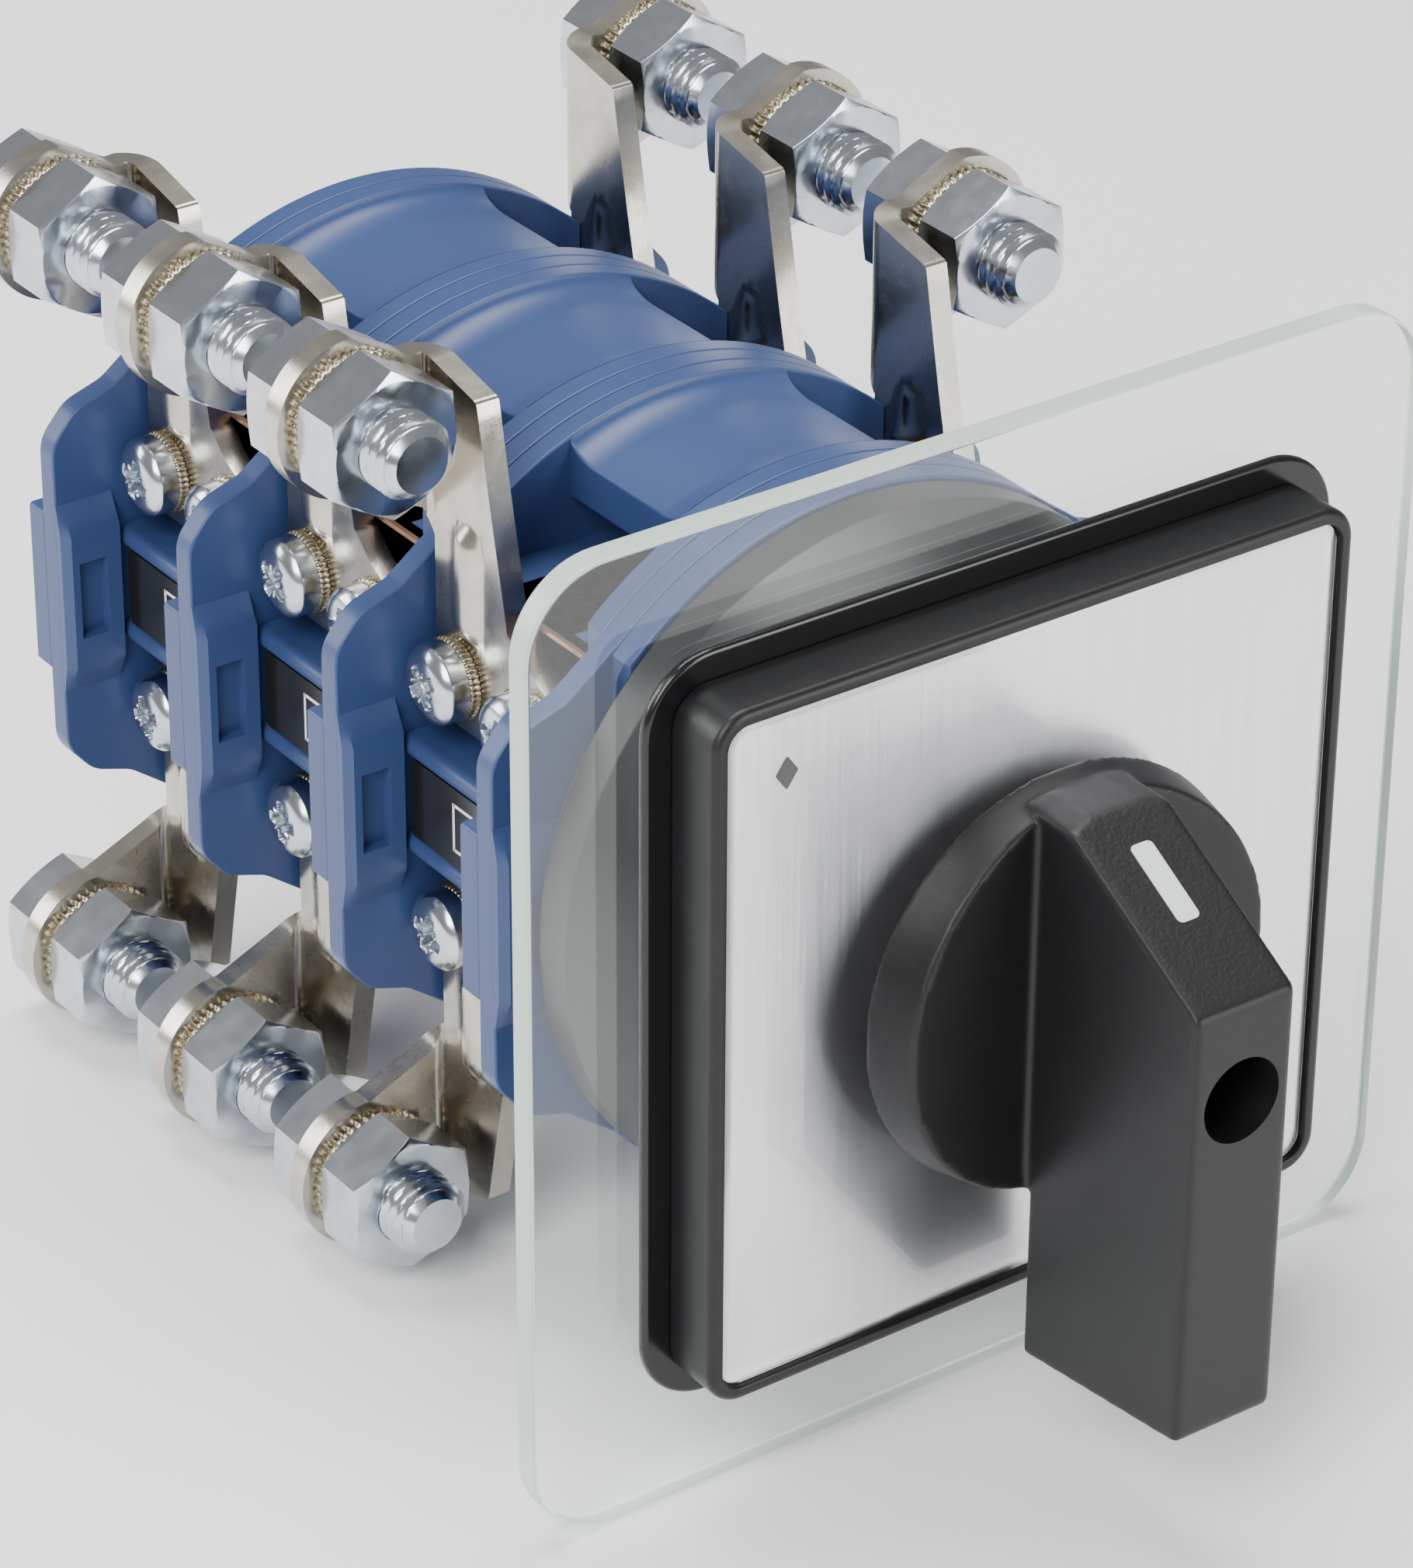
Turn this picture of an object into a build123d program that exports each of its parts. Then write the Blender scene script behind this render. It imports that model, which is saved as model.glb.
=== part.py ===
from build123d import *
from math import atan2, cos, degrees, radians, sin, sqrt
import os

# Rotary isolator switch for panel mounting, with three contact stages on one square shaft.
# Millimetres. +Z is up, the handle faces -Y and the shaft lies along Y.
# The origin is where the shaft axis meets the front face of the panel.

# --- Driving dimensions ---

# Front: panel, sealing frame, escutcheon, legend plate and clear cover
panel_side = 122.6
panel_thickness = 3.5
panel_corner = 10.5
panel_bore_radius = 11.0
seal_side = 94.9
seal_opening = 78.0
seal_depth = 1.5
seal_corner = 9.0
escutcheon_side = 88.0
escutcheon_depth = 7.9
escutcheon_corner = 4.5
escutcheon_rim = 1.8
escutcheon_web = 1.5
escutcheon_wall = 2.5
legend_thickness = 0.8
cover_thickness = 1.5
cover_sink = 0.3
front_fit = 0.15
mount_spacing = 48.0
mount_screw_radius = 2.0
mount_head_radius = 3.9
mount_head_height = 2.4
mount_screw_length = 14.0
mount_hole_clearance = 0.3

# Handle
knob_rear_radius = 26.0
knob_front_radius = 24.4
knob_rear_gap = 3.1
knob_height = 7.4
knob_dish_root = 5.1
blade_width = 13.6
blade_front_reach = 35.8
blade_facet_foot = 12.1
blade_facet_head = 25.4
blade_facet_run = 23.0
blade_bottom_front = 42.6
blade_bottom_rear = 45.8
blade_rear_reach = 8.7
blade_round_radius = 25.6
blade_edge_round = 0.6
blade_root_sink = 2.0
blade_root_inset = 2.0
blade_step_inset = 1.0
hub_radius = 12.5
hub_clearance = 0.5
access_radius = 5.0
access_depth = 16.0
indicator_length = 10.8
indicator_width = 3.2
indicator_depth = 0.5
indicator_shift = 3.2
handle_web = 2.3
handle_screw_radius = 2.5
handle_screw_head = 4.3
handle_screw_head_height = 4.0
handle_screw_length = 14.0

# Shaft and running fits
shaft_side = 10.0
shaft_chamfer = 0.6
shaft_end_gap = 0.5
shaft_fit = 0.05
bearing_fit = 0.1
thread_fit = 0.05
hole_clearance = 0.25
drill_margin = 1.0

# Latch housing and detent
latch_depth = 22.8
latch_front_radius = 40.0
latch_radius = 43.7
latch_rim_length = 5.5
latch_wall = 6.0
latch_cavity_radius = 34.0
latch_chamfer = 0.8
latch_boss_radius = 4.5
star_lobe_radius = 14.5
star_notch_depth = 1.2
star_thickness = 8.0
star_hub_radius = 10.0
star_gap = 1.5
star_end_gap = 0.3
notch_clearance = 0.3
roller_radius = 2.8
roller_gap = 0.2
leaf_thickness = 0.8
leaf_half_length = 19.5

# Stack of stages
body_radius = 44.0
flange_thickness = 3.5
flange_margin = 1.5
flange_chamfer = 2.0
plate_thickness = 3.2
stage_length = 28.8
stage_count = 3
end_plate_thickness = 5.0
end_plate_radius = 38.0
rod_x = 24.0
rod_z = 7.0
rod_radius = 2.5
rod_clearance = 0.15
rod_head_radius = 4.2
rod_head_height = 2.8
rod_head_sink = 3.2
rod_head_clearance = 0.3
rod_nut_flats = 8.0
rod_nut_height = 4.0
rod_tail = 2.0

# Side barriers of the partition plates
barrier_reach = 46.1
barrier_half = 21.0
barrier_shoulder_x = 42.5
barrier_shoulder_z = 25.2
barrier_root_x = 37.2
barrier_root_z = 26.9
barrier_meet_angle = 42.0
barrier_round = 5.0
block_inner_x = 38.2
block_base_half = 13.0
block_face_half = 9.0
block_front = 1.8
block_rear = 3.5
block_rear_half = 11.0
block_bevel = 1.0
pocket_width = 4.0
pocket_height = 10.4
pocket_depth = 1.5
pocket_inset = 2.0

# Stage housing
side_x = 30.0
floor_z = 27.7
lip_thickness = 3.0
cover_half_width = 15.5
cover_wall = 1.6
cover_groove = 2.0
cover_roof = 1.8
cover_skirt_z = 33.5
cover_sink_round = 1.9
cam_bore_radius = 17.8
rib_reach = 7.5
rib_thickness = 2.6
rib_z = 6.5
marker_thickness = 1.2
marker_half = 5.0
marker_end_gap = 1.5
marker_sink = 0.5

# Contacts
leg_thickness = 2.0
leg_bottom = 9.5
leg_end_gap = 2.8
strip_thickness = 2.5
strip_half_length = 6.0
strip_inner_x = 7.0
tip_x = 10.4
tip_radius = 2.8
tip_height = 1.2
contact_travel = 3.0
closed_gap = 0.1
bridge_half_span = 13.3
bridge_half_length = 5.0
bridge_thickness = 2.5
plunger_width = 7.0
plunger_length = 10.0
plunger_fit = 0.15
plunger_pin_radius = 1.5
plunger_pin_height = 1.2
cam_top_radius = 16.0
cam_half_thickness = 6.0
cam_hub_radius = 12.0
cam_gap = 0.3
flank_steps = 6
spring_radius = 3.0
spring_wire_radius = 0.35
spring_turns = 3.0
spring_end_gap = 0.1

# Terminal lugs
lug_thickness = 3.0
lug_base_front = 3.6
lug_base_rear_gap = 1.0
lug_base_bottom = 10.0
lug_base_top = 20.5
lug_neck_y = 13.0
lug_neck_z = 24.8
lug_plate_clearance = 0.8
lug_step_rise = 3.5
lug_fold_overhang = 2.7
lug_fold_height = 19.5
lug_end_width = 12.9
lug_end_drop = 2.8
lug_base_round = 4.5
bead_inset = 7.0
bead_drop = 3.5
bead_length = 15.0
bead_width = 5.4
bead_height = 0.9
stud_x = 43.2
stud_rise = 13.8
tongue_radius = 9.8
bolt_radius = 5.0
bolt_hole_radius = 5.3
bolt_flats = 16.0
bolt_head_height = 6.4
nut_height = 8.0
lock_washer_radius = 8.9
lock_washer_thickness = 1.2
stud_projection = 5.3
stud_chamfer = 1.0
clamp_front_y = 8.3
clamp_rear_gap = 5.5
clamp_z = 16.5
clamp_radius = 2.5
clamp_length = 12.0
clamp_head_radius = 4.9
clamp_head_height = 3.8
clamp_washer_radius = 5.2
clamp_washer_thickness = 1.4
clamp_recess = 5.2
clamp_recess_width = 1.3
clamp_recess_depth = 2.0

# --- Levels along the shaft, worked out from the sizes above ---

pitch = plate_thickness + stage_length
escutcheon_rear = -seal_depth
escutcheon_front = escutcheon_rear - escutcheon_depth
legend_rear = escutcheon_front + cover_sink + cover_thickness + legend_thickness
web_rear = legend_rear + escutcheon_web
latch_rear = panel_thickness + latch_depth
first_plate = latch_rear + flange_thickness
stage_starts = [first_plate + plate_thickness + k * pitch for k in range(stage_count)]
plate_starts = [first_plate + k * pitch for k in range(stage_count + 1)]
stack_rear = plate_starts[-1] + plate_thickness
rear = stack_rear + end_plate_thickness
knob_rear = escutcheon_front - knob_rear_gap
blade_front = escutcheon_front - blade_front_reach
blade_rear = escutcheon_front - blade_rear_reach
screw_seat = blade_front + access_depth
shaft_front = screw_seat + handle_web
shaft_rear = stack_rear - shaft_end_gap
cover_opening = escutcheon_side - 2 * escutcheon_rim
strip_floor = floor_z - strip_thickness
tip_top = floor_z + tip_height
bridge_bottom = tip_top + closed_gap + contact_travel + tip_height
bridge_top = bridge_bottom + bridge_thickness
cover_radius = body_radius - cover_groove
cover_inner_radius = cover_radius - cover_roof
leg_half_length = stage_length / 2 - leg_end_gap
clamp_y = (clamp_front_y, stage_length - clamp_rear_gap)
plate_edge_z = sqrt(body_radius**2 - side_x**2)
lug_base_rear = stage_length - lug_base_rear_gap
lug_fold_rear = stage_length + lug_fold_overhang
lug_step_z = plate_edge_z + lug_plate_clearance
lug_fold_z = lug_step_z + lug_step_rise
lug_end_z = lug_fold_z + lug_fold_height
lug_end_front_y = lug_fold_rear - lug_end_width
lug_end_front_z = lug_end_z - lug_end_drop
bead_y = lug_base_rear - bead_inset
bead_z = lug_step_z - bead_drop
stud_z = lug_fold_z + stud_rise
rod_points = [(sx * rod_x, sz * rod_z) for sx in (-1, 1) for sz in (-1, 1)]
mount_points = [(sx * mount_spacing / 2, sz * mount_spacing / 2) for sx in (-1, 1) for sz in (-1, 1)]

os.makedirs("parts", exist_ok=True)


def across(y):
    """Plane across the shaft at y: sketch x is X, sketch y is Z, and extruding by -d goes towards +Y."""
    return Plane.XZ.offset(-y)


def save(builder, name):
    """Label a finished piece and write its STEP file."""
    builder.part.label = name
    export_step(builder.part, f"parts/{name}.step")


# --- Clear panel ---

with BuildPart() as clear_panel:
    with BuildSketch(across(0)):
        RectangleRounded(panel_side, panel_side, panel_corner)
        Circle(panel_bore_radius, mode=Mode.SUBTRACT)
        with Locations(*mount_points):
            Circle(mount_screw_radius + mount_hole_clearance, mode=Mode.SUBTRACT)
    extrude(amount=-panel_thickness)
save(clear_panel, "clear_panel")


# --- Sealing frame between panel and escutcheon ---

with BuildPart() as sealing_frame:
    with BuildSketch(across(escutcheon_rear)):
        RectangleRounded(seal_side, seal_side, seal_corner)
        RectangleRounded(seal_opening, seal_opening, escutcheon_corner, mode=Mode.SUBTRACT)
    extrude(amount=-seal_depth)
    fillet(sealing_frame.faces().sort_by(Axis.Y)[0].outer_wire().edges(), seal_depth / 3)
save(sealing_frame, "sealing_frame")


# --- Escutcheon frame: square rim, recess for the legend, web and hollow back ---

with BuildPart() as escutcheon_frame:
    with BuildSketch(across(escutcheon_front)):
        RectangleRounded(escutcheon_side, escutcheon_side, escutcheon_corner)
    extrude(amount=-escutcheon_depth)
    fillet(escutcheon_frame.faces().sort_by(Axis.Y)[0].outer_wire().edges(), escutcheon_rim / 3)
    with BuildSketch(across(escutcheon_front)):
        RectangleRounded(cover_opening, cover_opening, escutcheon_corner - escutcheon_rim)
    extrude(amount=-(legend_rear - escutcheon_front), mode=Mode.SUBTRACT)
    with BuildSketch(across(web_rear)):
        hollow_side = escutcheon_side - 2 * escutcheon_wall
        RectangleRounded(hollow_side, hollow_side, escutcheon_corner / 2)
    extrude(amount=-(escutcheon_rear - web_rear), mode=Mode.SUBTRACT)
    with BuildSketch(across(legend_rear)):
        Circle(hub_radius + hub_clearance)
    extrude(amount=-escutcheon_web, mode=Mode.SUBTRACT)
save(escutcheon_frame, "escutcheon_frame")


# --- Legend plate and the clear cover on it ---


def front_sheet(y, thickness):
    """Square sheet that lies in the escutcheon's recess, with the hole for the handle hub."""
    side = cover_opening - 2 * front_fit
    with BuildPart() as sheet:
        with BuildSketch(across(y)):
            RectangleRounded(side, side, escutcheon_corner - escutcheon_rim)
            Circle(hub_radius + hub_clearance, mode=Mode.SUBTRACT)
        extrude(amount=-thickness)
    return sheet


legend_plate = front_sheet(legend_rear - legend_thickness, legend_thickness)
save(legend_plate, "legend_plate")
clear_cover = front_sheet(escutcheon_front + cover_sink, cover_thickness)
save(clear_cover, "clear_cover")


# --- Mounting screws through the panel into the latch housing ---

with BuildPart() as mounting_screws:
    with BuildSketch(across(-mount_head_height)):
        with Locations(*mount_points):
            Circle(mount_head_radius)
    extrude(amount=-mount_head_height)
    with BuildSketch(across(0)):
        with Locations(*mount_points):
            Circle(mount_screw_radius)
    extrude(amount=-mount_screw_length)
    heads = mounting_screws.faces().filter_by(Axis.Y).sort_by(Axis.Y)[:4]
    chamfer(heads.edges(), mount_head_height / 4)
save(mounting_screws, "mounting_screws")


# --- Handle: tapered knob with dished faces, blade across it and hub behind ---

facet_head_y = blade_front + blade_facet_run
blade_root_y = knob_rear - knob_dish_root + blade_root_sink
blade_profile = [
    (blade_front, blade_facet_foot),
    (facet_head_y, blade_facet_head),
    (blade_root_y, blade_facet_head),
    (blade_root_y, -knob_front_radius + blade_root_inset),
    (blade_rear, -knob_front_radius + blade_step_inset),
    (blade_rear, -blade_bottom_rear),
    (blade_front, -blade_bottom_front),
]
knob_taper = degrees(atan2(knob_rear_radius - knob_front_radius, knob_height))
dish_root_y = knob_rear - knob_dish_root
dish_rim_y = knob_rear - knob_height

with BuildPart() as blade:
    with BuildSketch(Plane.YZ.offset(-blade_width / 2)):
        with BuildLine():
            Polyline(*blade_profile, close=True)
        make_face()
    extrude(amount=blade_width)
    with BuildSketch(across(knob_rear)):
        Circle(blade_round_radius)
        with Locations((0, -knob_rear_radius)):
            Rectangle(blade_width, 2 * knob_rear_radius)
    extrude(amount=blade_front_reach + knob_rear_gap, mode=Mode.INTERSECT)
    front_edges = blade.faces().sort_by(Axis.Y)[0].edges()
    fillet(front_edges, blade_edge_round)

with BuildPart() as handle:
    with BuildSketch(across(knob_rear)):
        Circle(knob_rear_radius)
    extrude(amount=knob_height, taper=knob_taper)
    with BuildSketch(Plane.XY):
        with BuildLine():
            Polyline(
                (blade_width / 2, dish_root_y),
                (knob_rear_radius, dish_rim_y),
                (knob_rear_radius, dish_rim_y - knob_height),
                (blade_width / 2, dish_rim_y - knob_height),
                close=True,
            )
        make_face()
        mirror(about=Plane.YZ)
    extrude(amount=knob_rear_radius, both=True, mode=Mode.SUBTRACT)
    add(blade.part)
    with BuildSketch(across(knob_rear)):
        Circle(hub_radius)
    extrude(amount=-(web_rear - knob_rear))
    with BuildSketch(across(web_rear)):
        Rectangle(shaft_side + 2 * shaft_fit, shaft_side + 2 * shaft_fit)
    extrude(amount=web_rear - shaft_front, mode=Mode.SUBTRACT)
    with BuildSketch(across(blade_front)):
        Circle(access_radius)
    extrude(amount=-access_depth, mode=Mode.SUBTRACT)
    with BuildSketch(across(screw_seat)):
        Circle(handle_screw_radius + hole_clearance)
    extrude(amount=-handle_web, mode=Mode.SUBTRACT)

# Indicator inlay, flush with the sloped facet
facet_rise = blade_facet_head - blade_facet_foot
facet_middle = Vector(0, blade_front + blade_facet_run / 2, blade_facet_foot + facet_rise / 2)
facet_along = Vector(0, blade_facet_run, facet_rise).normalized()
facet_plane = Plane(origin=facet_middle, x_dir=facet_along, z_dir=Vector(0, -facet_along.Z, facet_along.Y))

with BuildPart() as handle_indicator:
    with BuildSketch(facet_plane):
        with Locations((indicator_shift, 0)):
            RectangleRounded(indicator_length, indicator_width, indicator_width / 4)
    extrude(amount=-indicator_depth)

with handle:
    add(handle_indicator.part, mode=Mode.SUBTRACT)
save(handle, "handle")
save(handle_indicator, "handle_indicator")

with BuildPart() as handle_screw:
    with BuildSketch(across(screw_seat - handle_screw_head_height)):
        Circle(handle_screw_head)
    extrude(amount=-handle_screw_head_height)
    with BuildSketch(across(screw_seat)):
        Circle(handle_screw_radius)
    extrude(amount=-(handle_web + handle_screw_length))
    with BuildSketch(across(screw_seat - handle_screw_head_height)):
        RegularPolygon(handle_screw_head / 2, 6)
    extrude(amount=-handle_screw_head_height / 2, mode=Mode.SUBTRACT)
save(handle_screw, "handle_screw")


# --- Square drive shaft ---

with BuildPart() as drive_shaft:
    with BuildSketch(across(shaft_front)):
        Rectangle(shaft_side, shaft_side)
    extrude(amount=-(shaft_rear - shaft_front))
    chamfer(drive_shaft.edges().filter_by(Axis.Y), shaft_chamfer)
    with BuildSketch(across(shaft_front)):
        Circle(handle_screw_radius + thread_fit)
    extrude(amount=-(handle_screw_length + drill_margin), mode=Mode.SUBTRACT)
save(drive_shaft, "drive_shaft")


# --- Latch housing: round shell with a front wall, open at the back ---

with BuildPart() as latch_housing:
    with BuildSketch(Plane.XY):
        with BuildLine():
            Polyline(
                (0, panel_thickness),
                (latch_front_radius, panel_thickness),
                (latch_radius, latch_rear - latch_rim_length),
                (latch_radius, latch_rear - latch_chamfer),
                (latch_radius - latch_chamfer, latch_rear),
                (0, latch_rear),
                close=True,
            )
        make_face()
    revolve(axis=Axis.Y)
    with BuildSketch(across(panel_thickness + latch_wall)):
        Circle(latch_cavity_radius)
        with Locations(*mount_points):
            Circle(latch_boss_radius, mode=Mode.SUBTRACT)
    extrude(amount=-(latch_depth - latch_wall), mode=Mode.SUBTRACT)
    with BuildSketch(across(panel_thickness)):
        Circle(star_hub_radius + bearing_fit)
        with Locations(*rod_points):
            Circle(rod_radius + rod_clearance)
    extrude(amount=-latch_wall, mode=Mode.SUBTRACT)
    with BuildSketch(across(panel_thickness)):
        with Locations(*rod_points):
            Circle(rod_head_radius + rod_head_clearance)
    extrude(amount=-rod_head_sink, mode=Mode.SUBTRACT)
    with BuildSketch(across(panel_thickness)):
        with Locations(*mount_points):
            Circle(mount_screw_radius + thread_fit)
    extrude(amount=-(mount_screw_length - panel_thickness + drill_margin), mode=Mode.SUBTRACT)
save(latch_housing, "latch_housing")


# --- Detent: star wheel on the shaft, two rollers and their leaf springs ---

star_front = panel_thickness + latch_wall + star_gap
star_hub_front = panel_thickness + star_end_gap
roller_centre = star_lobe_radius + roller_gap + roller_radius
notch_centre = star_lobe_radius - star_notch_depth + roller_radius + notch_clearance
leaf_x = roller_centre + roller_radius + roller_gap

with BuildPart() as detent_star:
    with BuildSketch(across(star_front)):
        Circle(star_lobe_radius)
        with PolarLocations(notch_centre, 4):
            Circle(roller_radius + notch_clearance, mode=Mode.SUBTRACT)
    extrude(amount=-star_thickness)
    with BuildSketch(across(star_hub_front)):
        Circle(star_hub_radius)
    extrude(amount=-(star_front - star_hub_front))
    with BuildSketch(across(star_hub_front)):
        Rectangle(shaft_side + 2 * shaft_fit, shaft_side + 2 * shaft_fit)
    extrude(amount=-(star_front - star_hub_front + star_thickness), mode=Mode.SUBTRACT)
save(detent_star, "detent_star")

with BuildPart() as detent_rollers:
    with BuildSketch(across(star_front)):
        with Locations((-roller_centre, 0), (roller_centre, 0)):
            Circle(roller_radius)
    extrude(amount=-star_thickness)
save(detent_rollers, "detent_rollers")

with BuildPart() as detent_springs:
    with BuildSketch(across(star_front)):
        with Locations((-leaf_x - leaf_thickness / 2, 0), (leaf_x + leaf_thickness / 2, 0)):
            Rectangle(leaf_thickness, 2 * leaf_half_length)
    extrude(amount=-star_thickness)
save(detent_springs, "detent_springs")


# --- Front flange behind the latch housing ---


def body_disc(half_width):
    """Disc of the body's radius, cut straight at the sides."""
    Circle(body_radius)
    Rectangle(2 * half_width, 2 * body_radius, mode=Mode.INTERSECT)


with BuildPart() as front_flange:
    with BuildSketch(across(latch_rear)):
        body_disc(side_x + flange_margin)
        Circle(cam_hub_radius + bearing_fit, mode=Mode.SUBTRACT)
        with Locations(*rod_points):
            Circle(rod_radius + rod_clearance, mode=Mode.SUBTRACT)
    extrude(amount=-flange_thickness)
    corners = front_flange.edges().filter_by(Axis.Y).filter_by(lambda e: abs(e.center().X) > side_x)
    chamfer(corners, flange_chamfer)
save(front_flange, "front_flange")


# --- Partition plates with side barriers ---

meet = radians(barrier_meet_angle)
barrier_corner = [
    (body_radius * sin(meet), body_radius * cos(meet)),
    (barrier_root_x, barrier_root_z),
    (barrier_shoulder_x, barrier_shoulder_z),
    (barrier_reach, barrier_half),
]
barrier_outline = barrier_corner + [(x, -z) for x, z in reversed(barrier_corner)]
barrier_middle_x = (barrier_corner[0][0] + barrier_root_x) / 2
block_middle = (barrier_reach + block_inner_x) / 2
block_width = barrier_reach - block_inner_x
pocket_x = barrier_reach - pocket_inset - pocket_width / 2


def partition_plate(y):
    """Round plate with a barrier on each side, its thick middle block and the pocket in it."""
    with BuildPart() as plate:
        with BuildSketch(across(y)) as outline:
            with BuildLine():
                Polyline(*barrier_outline, close=True)
            make_face()
            mirror(about=Plane.YZ)
            outer_corners = outline.vertices().filter_by(lambda v: abs(v.X) > barrier_middle_x)
            fillet(outer_corners, barrier_round)
            Circle(body_radius)
            Circle(cam_hub_radius + bearing_fit, mode=Mode.SUBTRACT)
            with Locations(*rod_points):
                Circle(rod_radius + rod_clearance, mode=Mode.SUBTRACT)
        extrude(amount=-plate_thickness)
        for side in (-1, 1):
            with BuildSketch(across(y)):
                with Locations((side * block_middle, 0)):
                    Rectangle(block_width, 2 * block_base_half)
            with BuildSketch(across(y - block_front)):
                with Locations((side * (block_middle - block_bevel / 2), 0)):
                    Rectangle(block_width - block_bevel, 2 * block_face_half)
            loft()
            with BuildSketch(across(y + plate_thickness)):
                with Locations((side * block_middle, 0)):
                    Rectangle(block_width, 2 * block_rear_half)
            extrude(amount=-block_rear)
        with BuildSketch(across(y - block_front)):
            with Locations((-pocket_x, 0), (pocket_x, 0)):
                Rectangle(pocket_width, pocket_height)
        extrude(amount=-pocket_depth, mode=Mode.SUBTRACT)
    return plate


for k in range(stage_count + 1):
    save(partition_plate(plate_starts[k]), f"partition_plate_{k + 1}")


# --- Stage housings ---

web_x = side_x + rib_reach - marker_sink - marker_thickness
rib_length = rib_reach + rib_thickness
rib_x = side_x + rib_reach - rib_length / 2
guide_width = plunger_width + 2 * plunger_fit
guide_length = plunger_length + 2 * plunger_fit
clamp_seat = side_x + lug_thickness + clamp_washer_thickness
clamp_hole_depth = clamp_length - (clamp_seat - side_x) + drill_margin


def stage_housing(start):
    """Moulded housing: core, end lips, arched covers, ribs for the marker strips and all pockets."""
    middle = start + stage_length / 2
    end = start + stage_length
    with BuildPart() as housing:
        # Core with the webs and round-nosed ribs on its sides
        with BuildSketch(across(start)):
            Rectangle(2 * side_x, 2 * floor_z)
            Rectangle(2 * web_x, 2 * rib_z)
            for side in (-1, 1):
                with Locations(*[(side * rib_x, z) for z in (-rib_z, rib_z)]):
                    SlotOverall(rib_length, rib_thickness)
        extrude(amount=-stage_length)
        # End lips
        for lip in (start, end - lip_thickness):
            with BuildSketch(across(lip)):
                body_disc(side_x)
            extrude(amount=-lip_thickness)
        # Covers above and below, hollow inside and sunk between the lips
        with BuildSketch(across(start)):
            body_disc(cover_half_width)
            Rectangle(2 * cover_half_width, 2 * cover_skirt_z, mode=Mode.SUBTRACT)
        extrude(amount=-stage_length)
        with BuildSketch(across(start + lip_thickness)):
            Circle(cover_inner_radius)
            Rectangle(2 * (cover_half_width - cover_wall), 2 * body_radius, mode=Mode.INTERSECT)
            Rectangle(2 * side_x, 2 * floor_z, mode=Mode.SUBTRACT)
        extrude(amount=-(stage_length - 2 * lip_thickness), mode=Mode.SUBTRACT)
        with BuildSketch(Plane.XY) as sink:
            with Locations((cover_radius + cover_sink_round, middle)):
                Rectangle(2 * cover_sink_round, stage_length - 2 * lip_thickness)
            fillet(sink.vertices().sort_by(Axis.X)[:2], cover_sink_round)
        revolve(axis=Axis.Y, mode=Mode.SUBTRACT)
        # Cam bore, tie-rod holes and plunger guides
        with BuildSketch(across(start)):
            Circle(cam_bore_radius)
            with Locations(*rod_points):
                Circle(rod_radius + rod_clearance)
        extrude(amount=-stage_length, mode=Mode.SUBTRACT)
        with Locations((0, middle, 0)):
            Box(guide_width, guide_length, 2 * floor_z, mode=Mode.SUBTRACT)
        # Seats of the fixed contacts and the clamp screws' holes
        for sx in (-1, 1):
            for sz in (-1, 1):
                with Locations((sx * (side_x - leg_thickness / 2), middle, sz * (floor_z + leg_bottom) / 2)):
                    Box(leg_thickness, 2 * leg_half_length, floor_z - leg_bottom, mode=Mode.SUBTRACT)
                with Locations((sx * (side_x + strip_inner_x) / 2, middle, sz * (floor_z + strip_floor) / 2)):
                    Box(side_x - strip_inner_x, 2 * strip_half_length, strip_thickness, mode=Mode.SUBTRACT)
            with BuildSketch(Plane.YZ.offset(sx * side_x)):
                with Locations(*[(start + y, z) for y in clamp_y for z in (-clamp_z, clamp_z)]):
                    Circle(clamp_radius + thread_fit)
            extrude(amount=-sx * clamp_hole_depth, mode=Mode.SUBTRACT)
    return housing


for k in range(stage_count):
    save(stage_housing(stage_starts[k]), f"stage_housing_{k + 1}")


# --- Stage cams: two lobes, a quarter turn apart from their valleys, and a hub to the next cam ---


def cam_flank(quarter):
    """Points of a flank whose radius changes evenly with the angle over a quarter turn."""
    points = []
    for step in range(flank_steps + 1):
        share = step / flank_steps
        sunk = share if quarter % 2 == 0 else 1 - share
        radius = cam_top_radius - contact_travel * sunk
        angle = radians(90 * (1 + quarter + share))
        points.append((radius * cos(angle), radius * sin(angle)))
    return points


def stage_cam(start):
    """Cam of one stage, at rest with a lobe up and a lobe down."""
    with BuildPart() as cam:
        with BuildSketch(across(start - plate_thickness / 2)):
            Circle(cam_hub_radius)
        extrude(amount=-pitch)
        with BuildSketch(across(start + stage_length / 2 - cam_half_thickness)):
            with BuildLine():
                for quarter in range(4):
                    Spline(*cam_flank(quarter))
            make_face()
        extrude(amount=-2 * cam_half_thickness)
        with BuildSketch(across(start - plate_thickness / 2)):
            Rectangle(shaft_side + 2 * shaft_fit, shaft_side + 2 * shaft_fit)
        extrude(amount=-pitch, mode=Mode.SUBTRACT)
    return cam


for k in range(stage_count):
    save(stage_cam(stage_starts[k]), f"stage_cam_{k + 1}")


# --- Fixed contacts: leg behind the terminal lug, strip to the chamber and a round tip on it ---


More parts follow.
